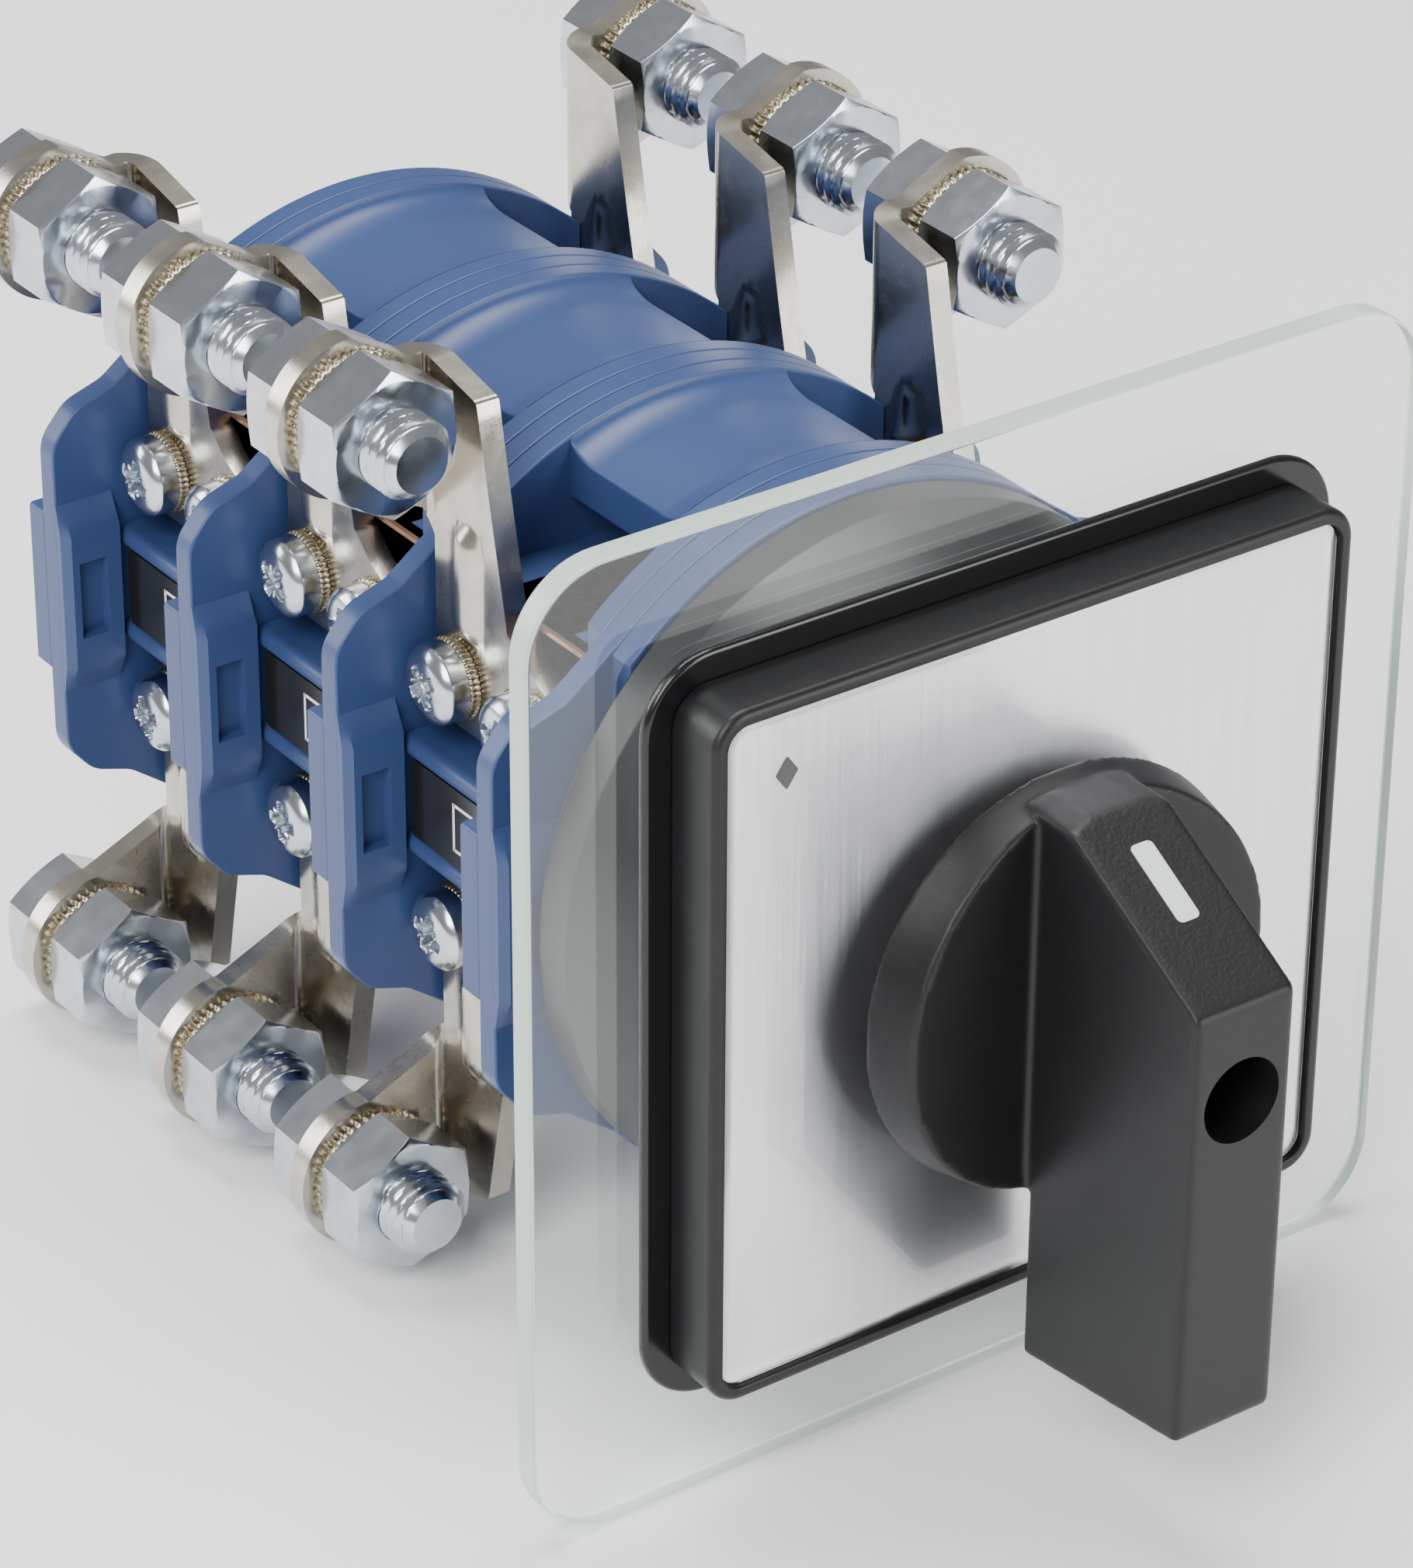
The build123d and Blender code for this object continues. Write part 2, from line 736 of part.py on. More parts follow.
def fixed_contacts(start):
    """The four fixed contacts of one stage."""
    middle = start + stage_length / 2
    with BuildPart() as contacts:
        for sx in (-1, 1):
            for sz in (-1, 1):
                with Locations((sx * (side_x - leg_thickness / 2), middle, sz * (floor_z + leg_bottom) / 2)):
                    Box(leg_thickness, 2 * leg_half_length, floor_z - leg_bottom)
                with Locations((sx * (side_x + strip_inner_x) / 2, middle, sz * (floor_z + strip_floor) / 2)):
                    Box(side_x - strip_inner_x, 2 * strip_half_length, strip_thickness)
                with Locations((sx * tip_x, middle, sz * (floor_z + tip_height / 2))):
                    Cylinder(tip_radius, tip_height)
            with BuildSketch(Plane.YZ.offset(sx * side_x)):
                with Locations(*[(start + y, z) for y in clamp_y for z in (-clamp_z, clamp_z)]):
                    Circle(clamp_radius + thread_fit)
            extrude(amount=-sx * leg_thickness, mode=Mode.SUBTRACT)
    return contacts


for k in range(stage_count):
    save(fixed_contacts(stage_starts[k]), f"fixed_contacts_{k + 1}")


# --- Contact bridges, their plungers and springs, above and below the shaft ---

spring_floor = bridge_top + spring_wire_radius + spring_end_gap
spring_ceiling = cover_inner_radius - spring_wire_radius - 2 * spring_end_gap


def contact_bridge(start, side):
    """Bridge bar with a round tip near each end and a hole for the plunger's pin."""
    middle = start + stage_length / 2
    with BuildPart() as bridge:
        with Locations((0, middle, side * (bridge_bottom + bridge_thickness / 2))):
            Box(2 * bridge_half_span, 2 * bridge_half_length, bridge_thickness)
            Cylinder(plunger_pin_radius + thread_fit, bridge_thickness, mode=Mode.SUBTRACT)
        with Locations(*[(x, middle, side * (bridge_bottom - tip_height / 2)) for x in (-tip_x, tip_x)]):
            Cylinder(tip_radius, tip_height)
    return bridge


def plunger(start, side):
    """Plunger from just off the cam to the bridge, with a pin into the bridge."""
    middle = start + stage_length / 2
    foot = cam_top_radius + cam_gap
    with BuildPart() as column:
        with Locations((0, middle, side * (foot + bridge_bottom) / 2)):
            Box(plunger_width, plunger_length, bridge_bottom - foot)
        with Locations((0, middle, side * (bridge_bottom + plunger_pin_height / 2))):
            Cylinder(plunger_pin_radius, plunger_pin_height)
    return column


def contact_spring(start, side):
    """Compression spring between the bridge and the cover."""
    height = spring_ceiling - spring_floor
    base = (0, start + stage_length / 2, side * spring_floor)
    with BuildPart() as coil:
        with BuildLine() as path:
            Helix(height / spring_turns, height, spring_radius, center=base, direction=(0, 0, side))
        with BuildSketch(Plane(origin=path.line @ 0, z_dir=path.line % 0)):
            Circle(spring_wire_radius)
        sweep(path=path.line, is_frenet=True)
    return coil


for k in range(stage_count):
    for row, side in (("top", 1), ("bottom", -1)):
        save(contact_bridge(stage_starts[k], side), f"contact_bridge_{row}_{k + 1}")
        save(plunger(stage_starts[k], side), f"plunger_{row}_{k + 1}")
        save(contact_spring(stage_starts[k], side), f"contact_spring_{row}_{k + 1}")


# --- Terminal lugs: base on the housing's side, strip away from the shaft and folded tongue ---

lug_outline = [
    (lug_base_front, lug_base_bottom),
    (lug_base_rear, lug_base_bottom),
    (lug_base_rear, lug_step_z),
    (lug_fold_rear, lug_fold_z),
    (lug_fold_rear, lug_end_z),
    (lug_end_front_y, lug_end_front_z),
    (lug_neck_y, lug_neck_z),
    (lug_base_front, lug_base_top),
]
lug_base_middle = (lug_base_bottom + lug_base_top) / 2
tongue_front = lug_fold_rear - lug_thickness


def lugs(sx, sz):
    """One corner's lugs, one for each stage."""
    with BuildPart() as corner:
        for start in stage_starts:
            with BuildSketch(Plane.YZ.offset(sx * side_x)) as strip:
                with BuildLine():
                    Polyline(*[(start + y, sz * z) for y, z in lug_outline], close=True)
                make_face()
                base_corners = strip.vertices().filter_by(lambda v: abs(v.Y) < lug_base_middle)
                fillet(base_corners, lug_base_round)
                with Locations(*[(start + y, sz * clamp_z) for y in clamp_y]):
                    Circle(clamp_radius + hole_clearance, mode=Mode.SUBTRACT)
            extrude(amount=sx * lug_thickness)
            with BuildSketch(across(start + tongue_front)):
                with Locations((sx * stud_x, sz * stud_z)):
                    Circle(tongue_radius)
                with Locations((sx * (side_x + lug_thickness / 2), sz * (lug_fold_z + lug_end_z) / 2)):
                    Rectangle(lug_thickness, lug_end_z - lug_fold_z)
                make_hull()
                with Locations((sx * stud_x, sz * stud_z)):
                    Circle(bolt_hole_radius, mode=Mode.SUBTRACT)
            extrude(amount=-lug_thickness)
            with BuildSketch(Plane.YZ.offset(sx * (side_x + lug_thickness))):
                with Locations((start + bead_y, sz * bead_z)):
                    SlotOverall(bead_length, bead_width, rotation=90)
            extrude(amount=sx * bead_height)
    return corner


for side_name, sx in (("left", -1), ("right", 1)):
    for level_name, sz in (("upper", 1), ("lower", -1)):
        save(lugs(sx, sz), f"lugs_{side_name}_{level_name}")


# --- Terminal bolts, toothed washers and nuts ---

stud_points = [(sx * stud_x, sz * stud_z) for sx in (-1, 1) for sz in (-1, 1)]
washer_front = tongue_front - lock_washer_thickness
nut_front = washer_front - nut_height
bolt_end = nut_front - stud_projection

with BuildPart() as terminal_bolts:
    for start in stage_starts:
        with BuildSketch(across(start + lug_fold_rear)):
            with Locations(*stud_points):
                RegularPolygon(bolt_flats / 2, 6, major_radius=False, rotation=30)
        extrude(amount=-bolt_head_height)
        with BuildSketch(across(start + lug_fold_rear)):
            with Locations(*stud_points):
                Circle(bolt_radius)
        extrude(amount=lug_fold_rear - bolt_end)
        ends = terminal_bolts.faces().filter_by(Axis.Y).filter_by(
            lambda f: abs(f.center().Y - start - bolt_end) < stud_chamfer
        )
        chamfer(ends.edges(), stud_chamfer)
save(terminal_bolts, "terminal_bolts")

with BuildPart() as terminal_lock_washers:
    for start in stage_starts:
        with BuildSketch(across(start + washer_front)):
            with Locations(*stud_points):
                Circle(lock_washer_radius)
                Circle(bolt_radius + hole_clearance, mode=Mode.SUBTRACT)
        extrude(amount=-lock_washer_thickness)
save(terminal_lock_washers, "terminal_lock_washers")

with BuildPart() as terminal_nuts:
    for start in stage_starts:
        with BuildSketch(across(start + nut_front)):
            with Locations(*stud_points):
                RegularPolygon(bolt_flats / 2, 6, major_radius=False, rotation=30)
                Circle(bolt_radius + thread_fit, mode=Mode.SUBTRACT)
        extrude(amount=-nut_height)
save(terminal_nuts, "terminal_nuts")


# --- Clamp screws and washers that hold the lugs, and the marker labels ---

with BuildPart() as clamp_screws:
    for sx in (-1, 1):
        for start in stage_starts:
            clamp_points = [(start + y, z) for y in clamp_y for z in (-clamp_z, clamp_z)]
            with BuildSketch(Plane.YZ.offset(sx * clamp_seat)):
                with Locations(*clamp_points):
                    Circle(clamp_head_radius)
            extrude(amount=sx * clamp_head_height)
            with BuildSketch(Plane.YZ.offset(sx * clamp_seat)):
                with Locations(*clamp_points):
                    Circle(clamp_radius)
            extrude(amount=-sx * clamp_length)
            with BuildSketch(Plane.YZ.offset(sx * (clamp_seat + clamp_head_height))):
                with Locations(*clamp_points):
                    Rectangle(clamp_recess, clamp_recess_width)
                    Rectangle(clamp_recess_width, clamp_recess)
            extrude(amount=-sx * clamp_recess_depth, mode=Mode.SUBTRACT)
save(clamp_screws, "clamp_screws")

with BuildPart() as clamp_washers:
    for sx in (-1, 1):
        for start in stage_starts:
            with BuildSketch(Plane.YZ.offset(sx * (side_x + lug_thickness))):
                with Locations(*[(start + y, z) for y in clamp_y for z in (-clamp_z, clamp_z)]):
                    Circle(clamp_washer_radius)
                    Circle(clamp_radius + hole_clearance, mode=Mode.SUBTRACT)
            extrude(amount=sx * clamp_washer_thickness)
save(clamp_washers, "clamp_washers")

with BuildPart() as marker_labels:
    for start in stage_starts:
        marker_x = web_x + marker_thickness / 2
        with Locations(*[(x, start + stage_length / 2, 0) for x in (-marker_x, marker_x)]):
            Box(marker_thickness, stage_length - 2 * marker_end_gap, 2 * marker_half)
save(marker_labels, "marker_labels")


# --- Rear end plate, tie rods and their nuts ---

with BuildPart() as rear_end_plate:
    with BuildSketch(across(stack_rear)):
        Circle(end_plate_radius)
        with Locations(*rod_points):
            Circle(rod_radius + rod_clearance, mode=Mode.SUBTRACT)
    extrude(amount=-end_plate_thickness)
    chamfer(rear_end_plate.faces().sort_by(Axis.Y)[-1].outer_wire().edges(), 1.0)
save(rear_end_plate, "rear_end_plate")

rod_seat = panel_thickness + rod_head_sink

with BuildPart() as tie_rods:
    with BuildSketch(across(rod_seat)):
        with Locations(*rod_points):
            Circle(rod_head_radius)
    extrude(amount=rod_head_height)
    with BuildSketch(across(rod_seat)):
        with Locations(*rod_points):
            Circle(rod_radius)
    extrude(amount=-(rear + rod_nut_height + rod_tail - rod_seat))
save(tie_rods, "tie_rods")

with BuildPart() as tie_rod_nuts:
    with BuildSketch(across(rear)):
        with Locations(*rod_points):
            RegularPolygon(rod_nut_flats / 2, 6, major_radius=False)
            Circle(rod_radius + thread_fit, mode=Mode.SUBTRACT)
    extrude(amount=-rod_nut_height)
save(tie_rod_nuts, "tie_rod_nuts")
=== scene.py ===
from math import cos, pi, radians, sin, sqrt

import bmesh
import bpy
import numpy as np
from mathutils import Matrix, Vector


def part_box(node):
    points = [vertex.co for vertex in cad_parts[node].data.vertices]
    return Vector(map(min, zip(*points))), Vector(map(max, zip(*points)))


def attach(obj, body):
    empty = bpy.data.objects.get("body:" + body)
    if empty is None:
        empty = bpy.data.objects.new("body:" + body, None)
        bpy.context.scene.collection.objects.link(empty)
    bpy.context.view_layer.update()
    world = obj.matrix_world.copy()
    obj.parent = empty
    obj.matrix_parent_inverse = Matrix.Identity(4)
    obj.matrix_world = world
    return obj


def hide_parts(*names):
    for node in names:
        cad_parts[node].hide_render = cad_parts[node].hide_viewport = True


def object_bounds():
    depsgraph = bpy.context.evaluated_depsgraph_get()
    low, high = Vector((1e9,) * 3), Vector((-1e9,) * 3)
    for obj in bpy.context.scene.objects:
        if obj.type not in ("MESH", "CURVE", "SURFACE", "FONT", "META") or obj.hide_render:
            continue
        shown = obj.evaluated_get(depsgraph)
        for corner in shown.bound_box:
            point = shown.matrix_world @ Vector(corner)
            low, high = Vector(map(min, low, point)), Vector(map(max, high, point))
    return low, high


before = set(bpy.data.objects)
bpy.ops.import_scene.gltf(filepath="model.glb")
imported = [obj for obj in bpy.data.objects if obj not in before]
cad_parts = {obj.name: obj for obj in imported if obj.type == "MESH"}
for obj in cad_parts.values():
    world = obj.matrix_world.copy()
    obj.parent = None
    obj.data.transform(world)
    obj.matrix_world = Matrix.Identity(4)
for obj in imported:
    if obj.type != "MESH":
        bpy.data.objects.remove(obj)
cad_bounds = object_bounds()

# ---------------------------------------------------------------------------
# Clear panel
# A square sheet of clear acrylic that stands for the enclosure's door. It is
# sawn to size, its edges are polished and it is clamped behind the escutcheon.
# ---------------------------------------------------------------------------


def span(node):
    """Lowest and highest corners of a CAD node, in millimetres."""
    low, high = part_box(node)
    return np.array(low) * 1000, np.array(high) * 1000


def rounded(corners, radii, steps=8):
    """A closed outline whose corners become arcs: each touches both its sides and has the given radius."""
    corners = np.asarray(corners, float)
    count = len(corners)
    radii = np.broadcast_to(np.asarray(radii, float), (count,))
    out = []
    for k in range(count):
        here, back, ahead = corners[k], corners[k - 1], corners[(k + 1) % count]
        if radii[k] <= 0:
            out.append(here[None])
            continue
        a = (back - here) / np.linalg.norm(back - here)
        b = (ahead - here) / np.linalg.norm(ahead - here)
        half = np.arccos(np.clip(a @ b, -1, 1)) / 2
        centre = here + (a + b) / np.linalg.norm(a + b) * radii[k] / sin(half)
        start = here + a * radii[k] / np.tan(half) - centre
        end = here + b * radii[k] / np.tan(half) - centre
        first = np.arctan2(start[1], start[0])
        turn = (np.arctan2(end[1], end[0]) - first + pi) % (2 * pi) - pi
        angle = first + turn * np.linspace(0, 1, steps + 1)
        out.append(centre + radii[k] * np.stack([np.cos(angle), np.sin(angle)], 1))
    return np.concatenate(out)


def square(half, other=None):
    """Corners of a rectangle centred on the origin."""
    other = half if other is None else other
    return [(half, other), (-half, other), (-half, -other), (half, -other)]


def ring(radius, count=96, centre=(0, 0)):
    """Points of a circle."""
    angle = np.linspace(0, 2 * pi, count, endpoint=False)
    return np.stack([np.cos(angle), np.sin(angle)], 1) * radius + np.asarray(centre)


def dense(outline, longest=4.0):
    """The same outline with points added on its long sides, so that none is longer than the given length."""
    ahead = np.roll(outline, -1, 0)
    parts = []
    for a, b in zip(outline, ahead):
        count = max(1, int(np.ceil(np.linalg.norm(b - a) / longest)))
        parts.append(a + (b - a) * np.arange(count)[:, None] / count)
    return np.concatenate(parts)


def carry(outline, profile):
    """Carries a profile of (inset, height) pairs round a closed outline: each outline point moves inwards
    along the bisector of its two sides by the inset, and along the third direction to the height."""
    outline = np.asarray(outline, float)
    profile = np.asarray(profile, float)
    side = np.roll(outline, -1, 0) - outline
    side /= np.maximum(np.linalg.norm(side, axis=1, keepdims=True), 1e-9)
    inward = np.stack([-side[:, 1], side[:, 0]], 1)
    area = np.sum(outline[:, 0] * np.roll(outline[:, 1], -1) - np.roll(outline[:, 0], -1) * outline[:, 1])
    inward *= np.sign(area)
    both = inward + np.roll(inward, 1, 0)
    both /= np.maximum(np.linalg.norm(both, axis=1, keepdims=True), 1e-9)
    both /= np.maximum(np.sum(both * inward, 1, keepdims=True), 0.3)
    flat = outline[None] + profile[:, 0, None, None] * both[None]
    height = np.broadcast_to(profile[:, 1, None, None], flat.shape[:2] + (1,))
    grid = np.concatenate([flat, height], 2)
    return np.concatenate([grid, grid[:, :1]], 1)


def edge_profile(low, high, low_edge, high_edge, steps=4):
    """Profile of a plate's rim: a quarter round at each face and a straight wall between them."""
    turn = np.linspace(0, pi / 2, steps + 1)
    foot = np.stack([low_edge * (1 - np.sin(turn)), low + low_edge * (1 - np.cos(turn))], 1)
    head = np.stack([high_edge * (1 - np.sin(turn)), high - high_edge * (1 - np.cos(turn))], 1)[::-1]
    return np.concatenate([foot, head])


def across(grid):
    """Turns (x, z, depth) points into (x, y, z): outlines drawn across the shaft."""
    return np.stack([grid[..., 0], grid[..., 2], grid[..., 1]], -1)


def sideways(grid):
    """Turns (y, z, depth) points into (x, y, z): outlines drawn on the side of the stack."""
    return np.stack([grid[..., 2], grid[..., 0], grid[..., 1]], -1)


def plate(outline, low, high, edge=0.3, hole=None, turn=across, hole_edge=0.15):
    """A plate between two heights with rounded rims. hole is a second outline with as many points, or a
    radius: its points then lie on the same rays as the outline's."""
    outline = np.asarray(outline, float)
    wall = carry(outline, edge_profile(low, high, edge, edge))
    if hole is None:
        return [turn(wall), turn(wall[0, :-1]), turn(wall[-1, :-1])]
    if np.ndim(hole) == 0:
        hole = outline / np.linalg.norm(outline, axis=1, keepdims=True) * hole
    inner = carry(hole, edge_profile(low, high, -hole_edge, -hole_edge))
    faces = [np.stack([wall[k], inner[k]]) for k in (0, -1)]
    return [turn(part) for part in [wall, inner] + faces]


def piece(name, solids, finish, body="switch_body", nodes=(), crease=35):
    """Makes one piece from solids. A solid is a list of grids, whose neighbouring points make quads, and of
    plain loops, each one polygon. Points that meet are welded, and the faces are turned outwards."""
    points, faces, total = [], [], 0
    for solid in solids:
        part, quads, count = [], [], 0
        for sheet in solid:
            sheet = np.asarray(sheet, float)
            if sheet.ndim == 2:
                quads.append((count + np.arange(len(sheet)))[None])
            else:
                index = count + np.arange(sheet.shape[0] * sheet.shape[1]).reshape(sheet.shape[:2])
                corners = [index[:-1, :-1], index[:-1, 1:], index[1:, 1:], index[1:, :-1]]
                quads.append(np.stack(corners, -1).reshape(-1, 4))
            part.append(sheet.reshape(-1, 3))
            count += len(part[-1])
        part = np.concatenate(part)
        kept, welded = np.unique(np.round(part * 2000).astype(np.int64), axis=0, return_inverse=True)[0:2]
        first = np.zeros(len(kept), int)
        first[welded.ravel()] = np.arange(len(part))
        points.append(part[first])
        for group in quads:
            for face in (welded.ravel()[group] + total).tolist():
                face = list(dict.fromkeys(face))
                if len(face) > 2:
                    faces.append(face)
        total += len(kept)
    mesh = bpy.data.meshes.new(name)
    mesh.from_pydata((np.concatenate(points) * 0.001).tolist(), [], faces)
    cleaned = bmesh.new()
    cleaned.from_mesh(mesh)
    bmesh.ops.recalc_face_normals(cleaned, faces=cleaned.faces)
    cleaned.to_mesh(mesh)
    cleaned.free()
    mesh.shade_smooth()
    mesh.set_sharp_from_angle(angle=radians(crease))
    made = bpy.data.objects.new(name, mesh)
    bpy.context.scene.collection.objects.link(made)
    for material in finish if isinstance(finish, (list, tuple)) else [finish]:
        mesh.materials.append(material)
    weigh = made.modifiers.new("even_normals", "WEIGHTED_NORMAL")
    weigh.keep_sharp = True
    if nodes:
        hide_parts(*nodes)
    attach(made, body)
    return made


def new_finish(name):
    """An empty material with its shader, and a short way to add and link nodes."""
    material = bpy.data.materials.new(name)
    material.use_nodes = True
    tree = material.node_tree
    shader = tree.nodes["Principled BSDF"]

    def add(kind, **settings):
        node = tree.nodes.new(kind)
        for key, value in settings.items():
            if key in node.inputs:
                node.inputs[key].default_value = value
            else:
                setattr(node, key, value)
        return node

    return material, shader, add, tree.links.new


def clear_plastic(name, tint, roughness=0.0):
    """Clear acrylic: a refracting surface that lets the lamps' light through."""
    material, shader, add, link = new_finish(name)
    shader.inputs["Base Color"].default_value = (*tint, 1)
    shader.inputs["Roughness"].default_value = roughness
    shader.inputs["IOR"].default_value = 1.49
    shader.inputs["Transmission Weight"].default_value = 1.0
    path = add("ShaderNodeLightPath")
    through = add("ShaderNodeBsdfTransparent", Color=(*tint, 1))
    mixed = add("ShaderNodeMixShader")
    link(path.outputs["Is Shadow Ray"], mixed.inputs[0])
    link(shader.outputs[0], mixed.inputs[1])
    link(through.outputs[0], mixed.inputs[2])
    output = material.node_tree.nodes["Material Output"]
    link(mixed.outputs[0], output.inputs["Surface"])
    return material


panel_low, panel_high = span("clear_panel")
panel_half = panel_high[0]
panel_corner = 10.5
panel_bore = 11.0
panel_face = clear_plastic("clear_acrylic_face", (0.955, 0.985, 0.97))
panel_edge, edge_shader, _, _ = new_finish("clear_acrylic_edge")
edge_shader.inputs["Base Color"].default_value = (0.70, 0.83, 0.75, 1)
edge_shader.inputs["Roughness"].default_value = 0.30
edge_shader.inputs["Transmission Weight"].default_value = 0.35
edge_shader.inputs["IOR"].default_value = 1.49
panel_outline = dense(rounded(square(panel_half), panel_corner, 16))
panel = piece(
    "door_panel",
    [plate(panel_outline, panel_low[1], panel_high[1], 0.45, panel_bore, hole_edge=0.3)],
    [panel_face, panel_edge],
    nodes=["clear_panel"],
)
facing = np.zeros(len(panel.data.polygons) * 3, np.float32)
panel.data.polygons.foreach_get("normal", facing)
panel.data.polygons.foreach_set("material_index", (np.abs(facing[1::3]) < 0.9).astype(np.int32))

# ---------------------------------------------------------------------------
# Sealing frame
# A moulded rubber frame, pressed flat between the panel and the escutcheon.
# Its face is smooth and glossy where it was moulded against polished steel.
# ---------------------------------------------------------------------------


def moulded(name, colour, roughness, grain_size, grain_depth, speckle=0.04, coat=0.0, shine=0.5):
    """Moulded plastic: fine grain raises its surface, and wide soft clouds vary its colour and gloss.
    grain_size and grain_depth are in millimetres."""
    material, shader, add, link = new_finish(name)
    place = add("ShaderNodeTexCoord")
    grain = add("ShaderNodeTexNoise", Scale=1000 / grain_size, Detail=3.0, Roughness=0.6)
    cloud = add("ShaderNodeTexNoise", Scale=90.0, Detail=4.0, Roughness=0.55)
    for noise in (grain, cloud):
        link(place.outputs["Object"], noise.inputs["Vector"])
    tone = add("ShaderNodeMapRange", **{"To Min": 1 - speckle, "To Max": 1 + speckle})
    link(cloud.outputs["Fac"], tone.inputs["Value"])
    scaled = add("ShaderNodeVectorMath", operation="SCALE")
    scaled.inputs[0].default_value = colour
    link(tone.outputs[0], scaled.inputs["Scale"])
    link(scaled.outputs[0], shader.inputs["Base Color"])
    gloss = add("ShaderNodeMapRange", **{"To Min": roughness - 0.05, "To Max": roughness + 0.07})
    link(cloud.outputs["Fac"], gloss.inputs["Value"])
    link(gloss.outputs[0], shader.inputs["Roughness"])
    raised = add("ShaderNodeBump", Strength=1.0, Distance=grain_depth * 0.001)
    link(grain.outputs["Fac"], raised.inputs["Height"])
    link(raised.outputs[0], shader.inputs["Normal"])
    shader.inputs["Specular IOR Level"].default_value = shine
    shader.inputs["Coat Weight"].default_value = coat
    shader.inputs["Coat Roughness"].default_value = 0.12
    return material


seal_low, seal_high = span("sealing_frame")
seal_half = seal_high[0]
seal_outline = rounded(square(seal_half), 9.0, 12)
seal_opening = rounded(square(39.0), 4.5, 12)
seal_black = moulded("sealing_rubber", (0.006, 0.006, 0.007), 0.17, 0.9, 0.004, shine=0.45)
piece(
    "seal",
    [plate(seal_outline, seal_low[1], seal_high[1], 0.6, seal_opening)],
    seal_black,
    nodes=["sealing_frame"],
)

# ---------------------------------------------------------------------------
# Escutcheon frame
# The square black front frame. It is moulded in one piece with a web behind
# the legend plate, and its front rim is rolled over with a soft edge.
# ---------------------------------------------------------------------------

rim_low, rim_high = span("escutcheon_frame")
rim_half = rim_high[0]
rim_outline = rounded(square(rim_half), 4.5, 12)
front_y, back_y = rim_low[1], rim_high[1]
recess_y = span("legend_plate")[1][1]
web_back_y = recess_y + 1.5
rim_width = 1.8
rim_wall = 2.5
rim_section = rounded(
    [
        (0.0, back_y),
        (0.0, front_y),
        (rim_width, front_y),
        (rim_width, recess_y),
        (rim_wall + 0.4, recess_y),
        (rim_wall, back_y),
    ],
    [0.3, 0.95, 0.3, 0, 0, 0.3],
    5,
)
rim_section = np.concatenate([rim_section, rim_section[:1]])
escutcheon_black = moulded("escutcheon_plastic", (0.006, 0.006, 0.007), 0.40, 0.35, 0.012, shine=0.35)
web_outline = rounded(square(rim_half - rim_wall), 2.0, 12)
piece(
    "escutcheon",
    [[across(carry(rim_outline, rim_section))], plate(web_outline, recess_y, web_back_y, 0.05, 13.0)],
    escutcheon_black,
    nodes=["escutcheon_frame"],
)

# ---------------------------------------------------------------------------
# Legend plate
# A sheet of aluminium, brushed upright and cut to fit the escutcheon's recess.
# One small printed diamond marks its upper corner.
# ---------------------------------------------------------------------------


def brushed(name, colour, roughness):
    """Brushed aluminium: long upright scratches vary its tone, gloss and height, and stretch reflections."""
    material, shader, add, link = new_finish(name)
    place = add("ShaderNodeTexCoord")
    stretch = add("ShaderNodeMapping")
    stretch.inputs["Scale"].default_value = (5200, 400, 36)
    link(place.outputs["Object"], stretch.inputs["Vector"])
    scratch = add("ShaderNodeTexNoise", Scale=1.0, Detail=3.0, Roughness=0.65)
    link(stretch.outputs[0], scratch.inputs["Vector"])
    broad = add("ShaderNodeMapping")
    broad.inputs["Scale"].default_value = (620, 60, 9)
    link(place.outputs["Object"], broad.inputs["Vector"])
    streak = add("ShaderNodeTexNoise", Scale=1.0, Detail=2.0, Roughness=0.5)
    link(broad.outputs[0], streak.inputs["Vector"])
    tone = add("ShaderNodeMix", data_type="RGBA", blend_type="MIX")
    tone.inputs[6].default_value = (*[c * 0.80 for c in colour], 1)
    tone.inputs[7].default_value = (*[min(1, c * 1.12) for c in colour], 1)
    blend = add("ShaderNodeMath", operation="MULTIPLY_ADD")
    blend.inputs[1].default_value = 0.7
    link(scratch.outputs["Fac"], blend.inputs[0])
    half = add("ShaderNodeMath", operation="MULTIPLY")
    half.inputs[1].default_value = 0.3
    link(streak.outputs["Fac"], half.inputs[0])
    link(half.outputs[0], blend.inputs[2])
    link(blend.outputs[0], tone.inputs[0])
    link(tone.outputs[2], shader.inputs["Base Color"])
    gloss = add("ShaderNodeMapRange", **{"To Min": roughness - 0.08, "To Max": roughness + 0.12})
    link(scratch.outputs["Fac"], gloss.inputs["Value"])
    link(gloss.outputs[0], shader.inputs["Roughness"])
    raised = add("ShaderNodeBump", Strength=1.0, Distance=0.000006)
    link(scratch.outputs["Fac"], raised.inputs["Height"])
    link(raised.outputs[0], shader.inputs["Normal"])
    shader.inputs["Metallic"].default_value = 1.0
    shader.inputs["Anisotropic"].default_value = 0.7
    shader.inputs["Anisotropic Rotation"].default_value = 0.25
    grain_way = add("ShaderNodeTangent", direction_type="UV_MAP", uv_map="brushing")
    link(grain_way.outputs[0], shader.inputs["Tangent"])
    return material


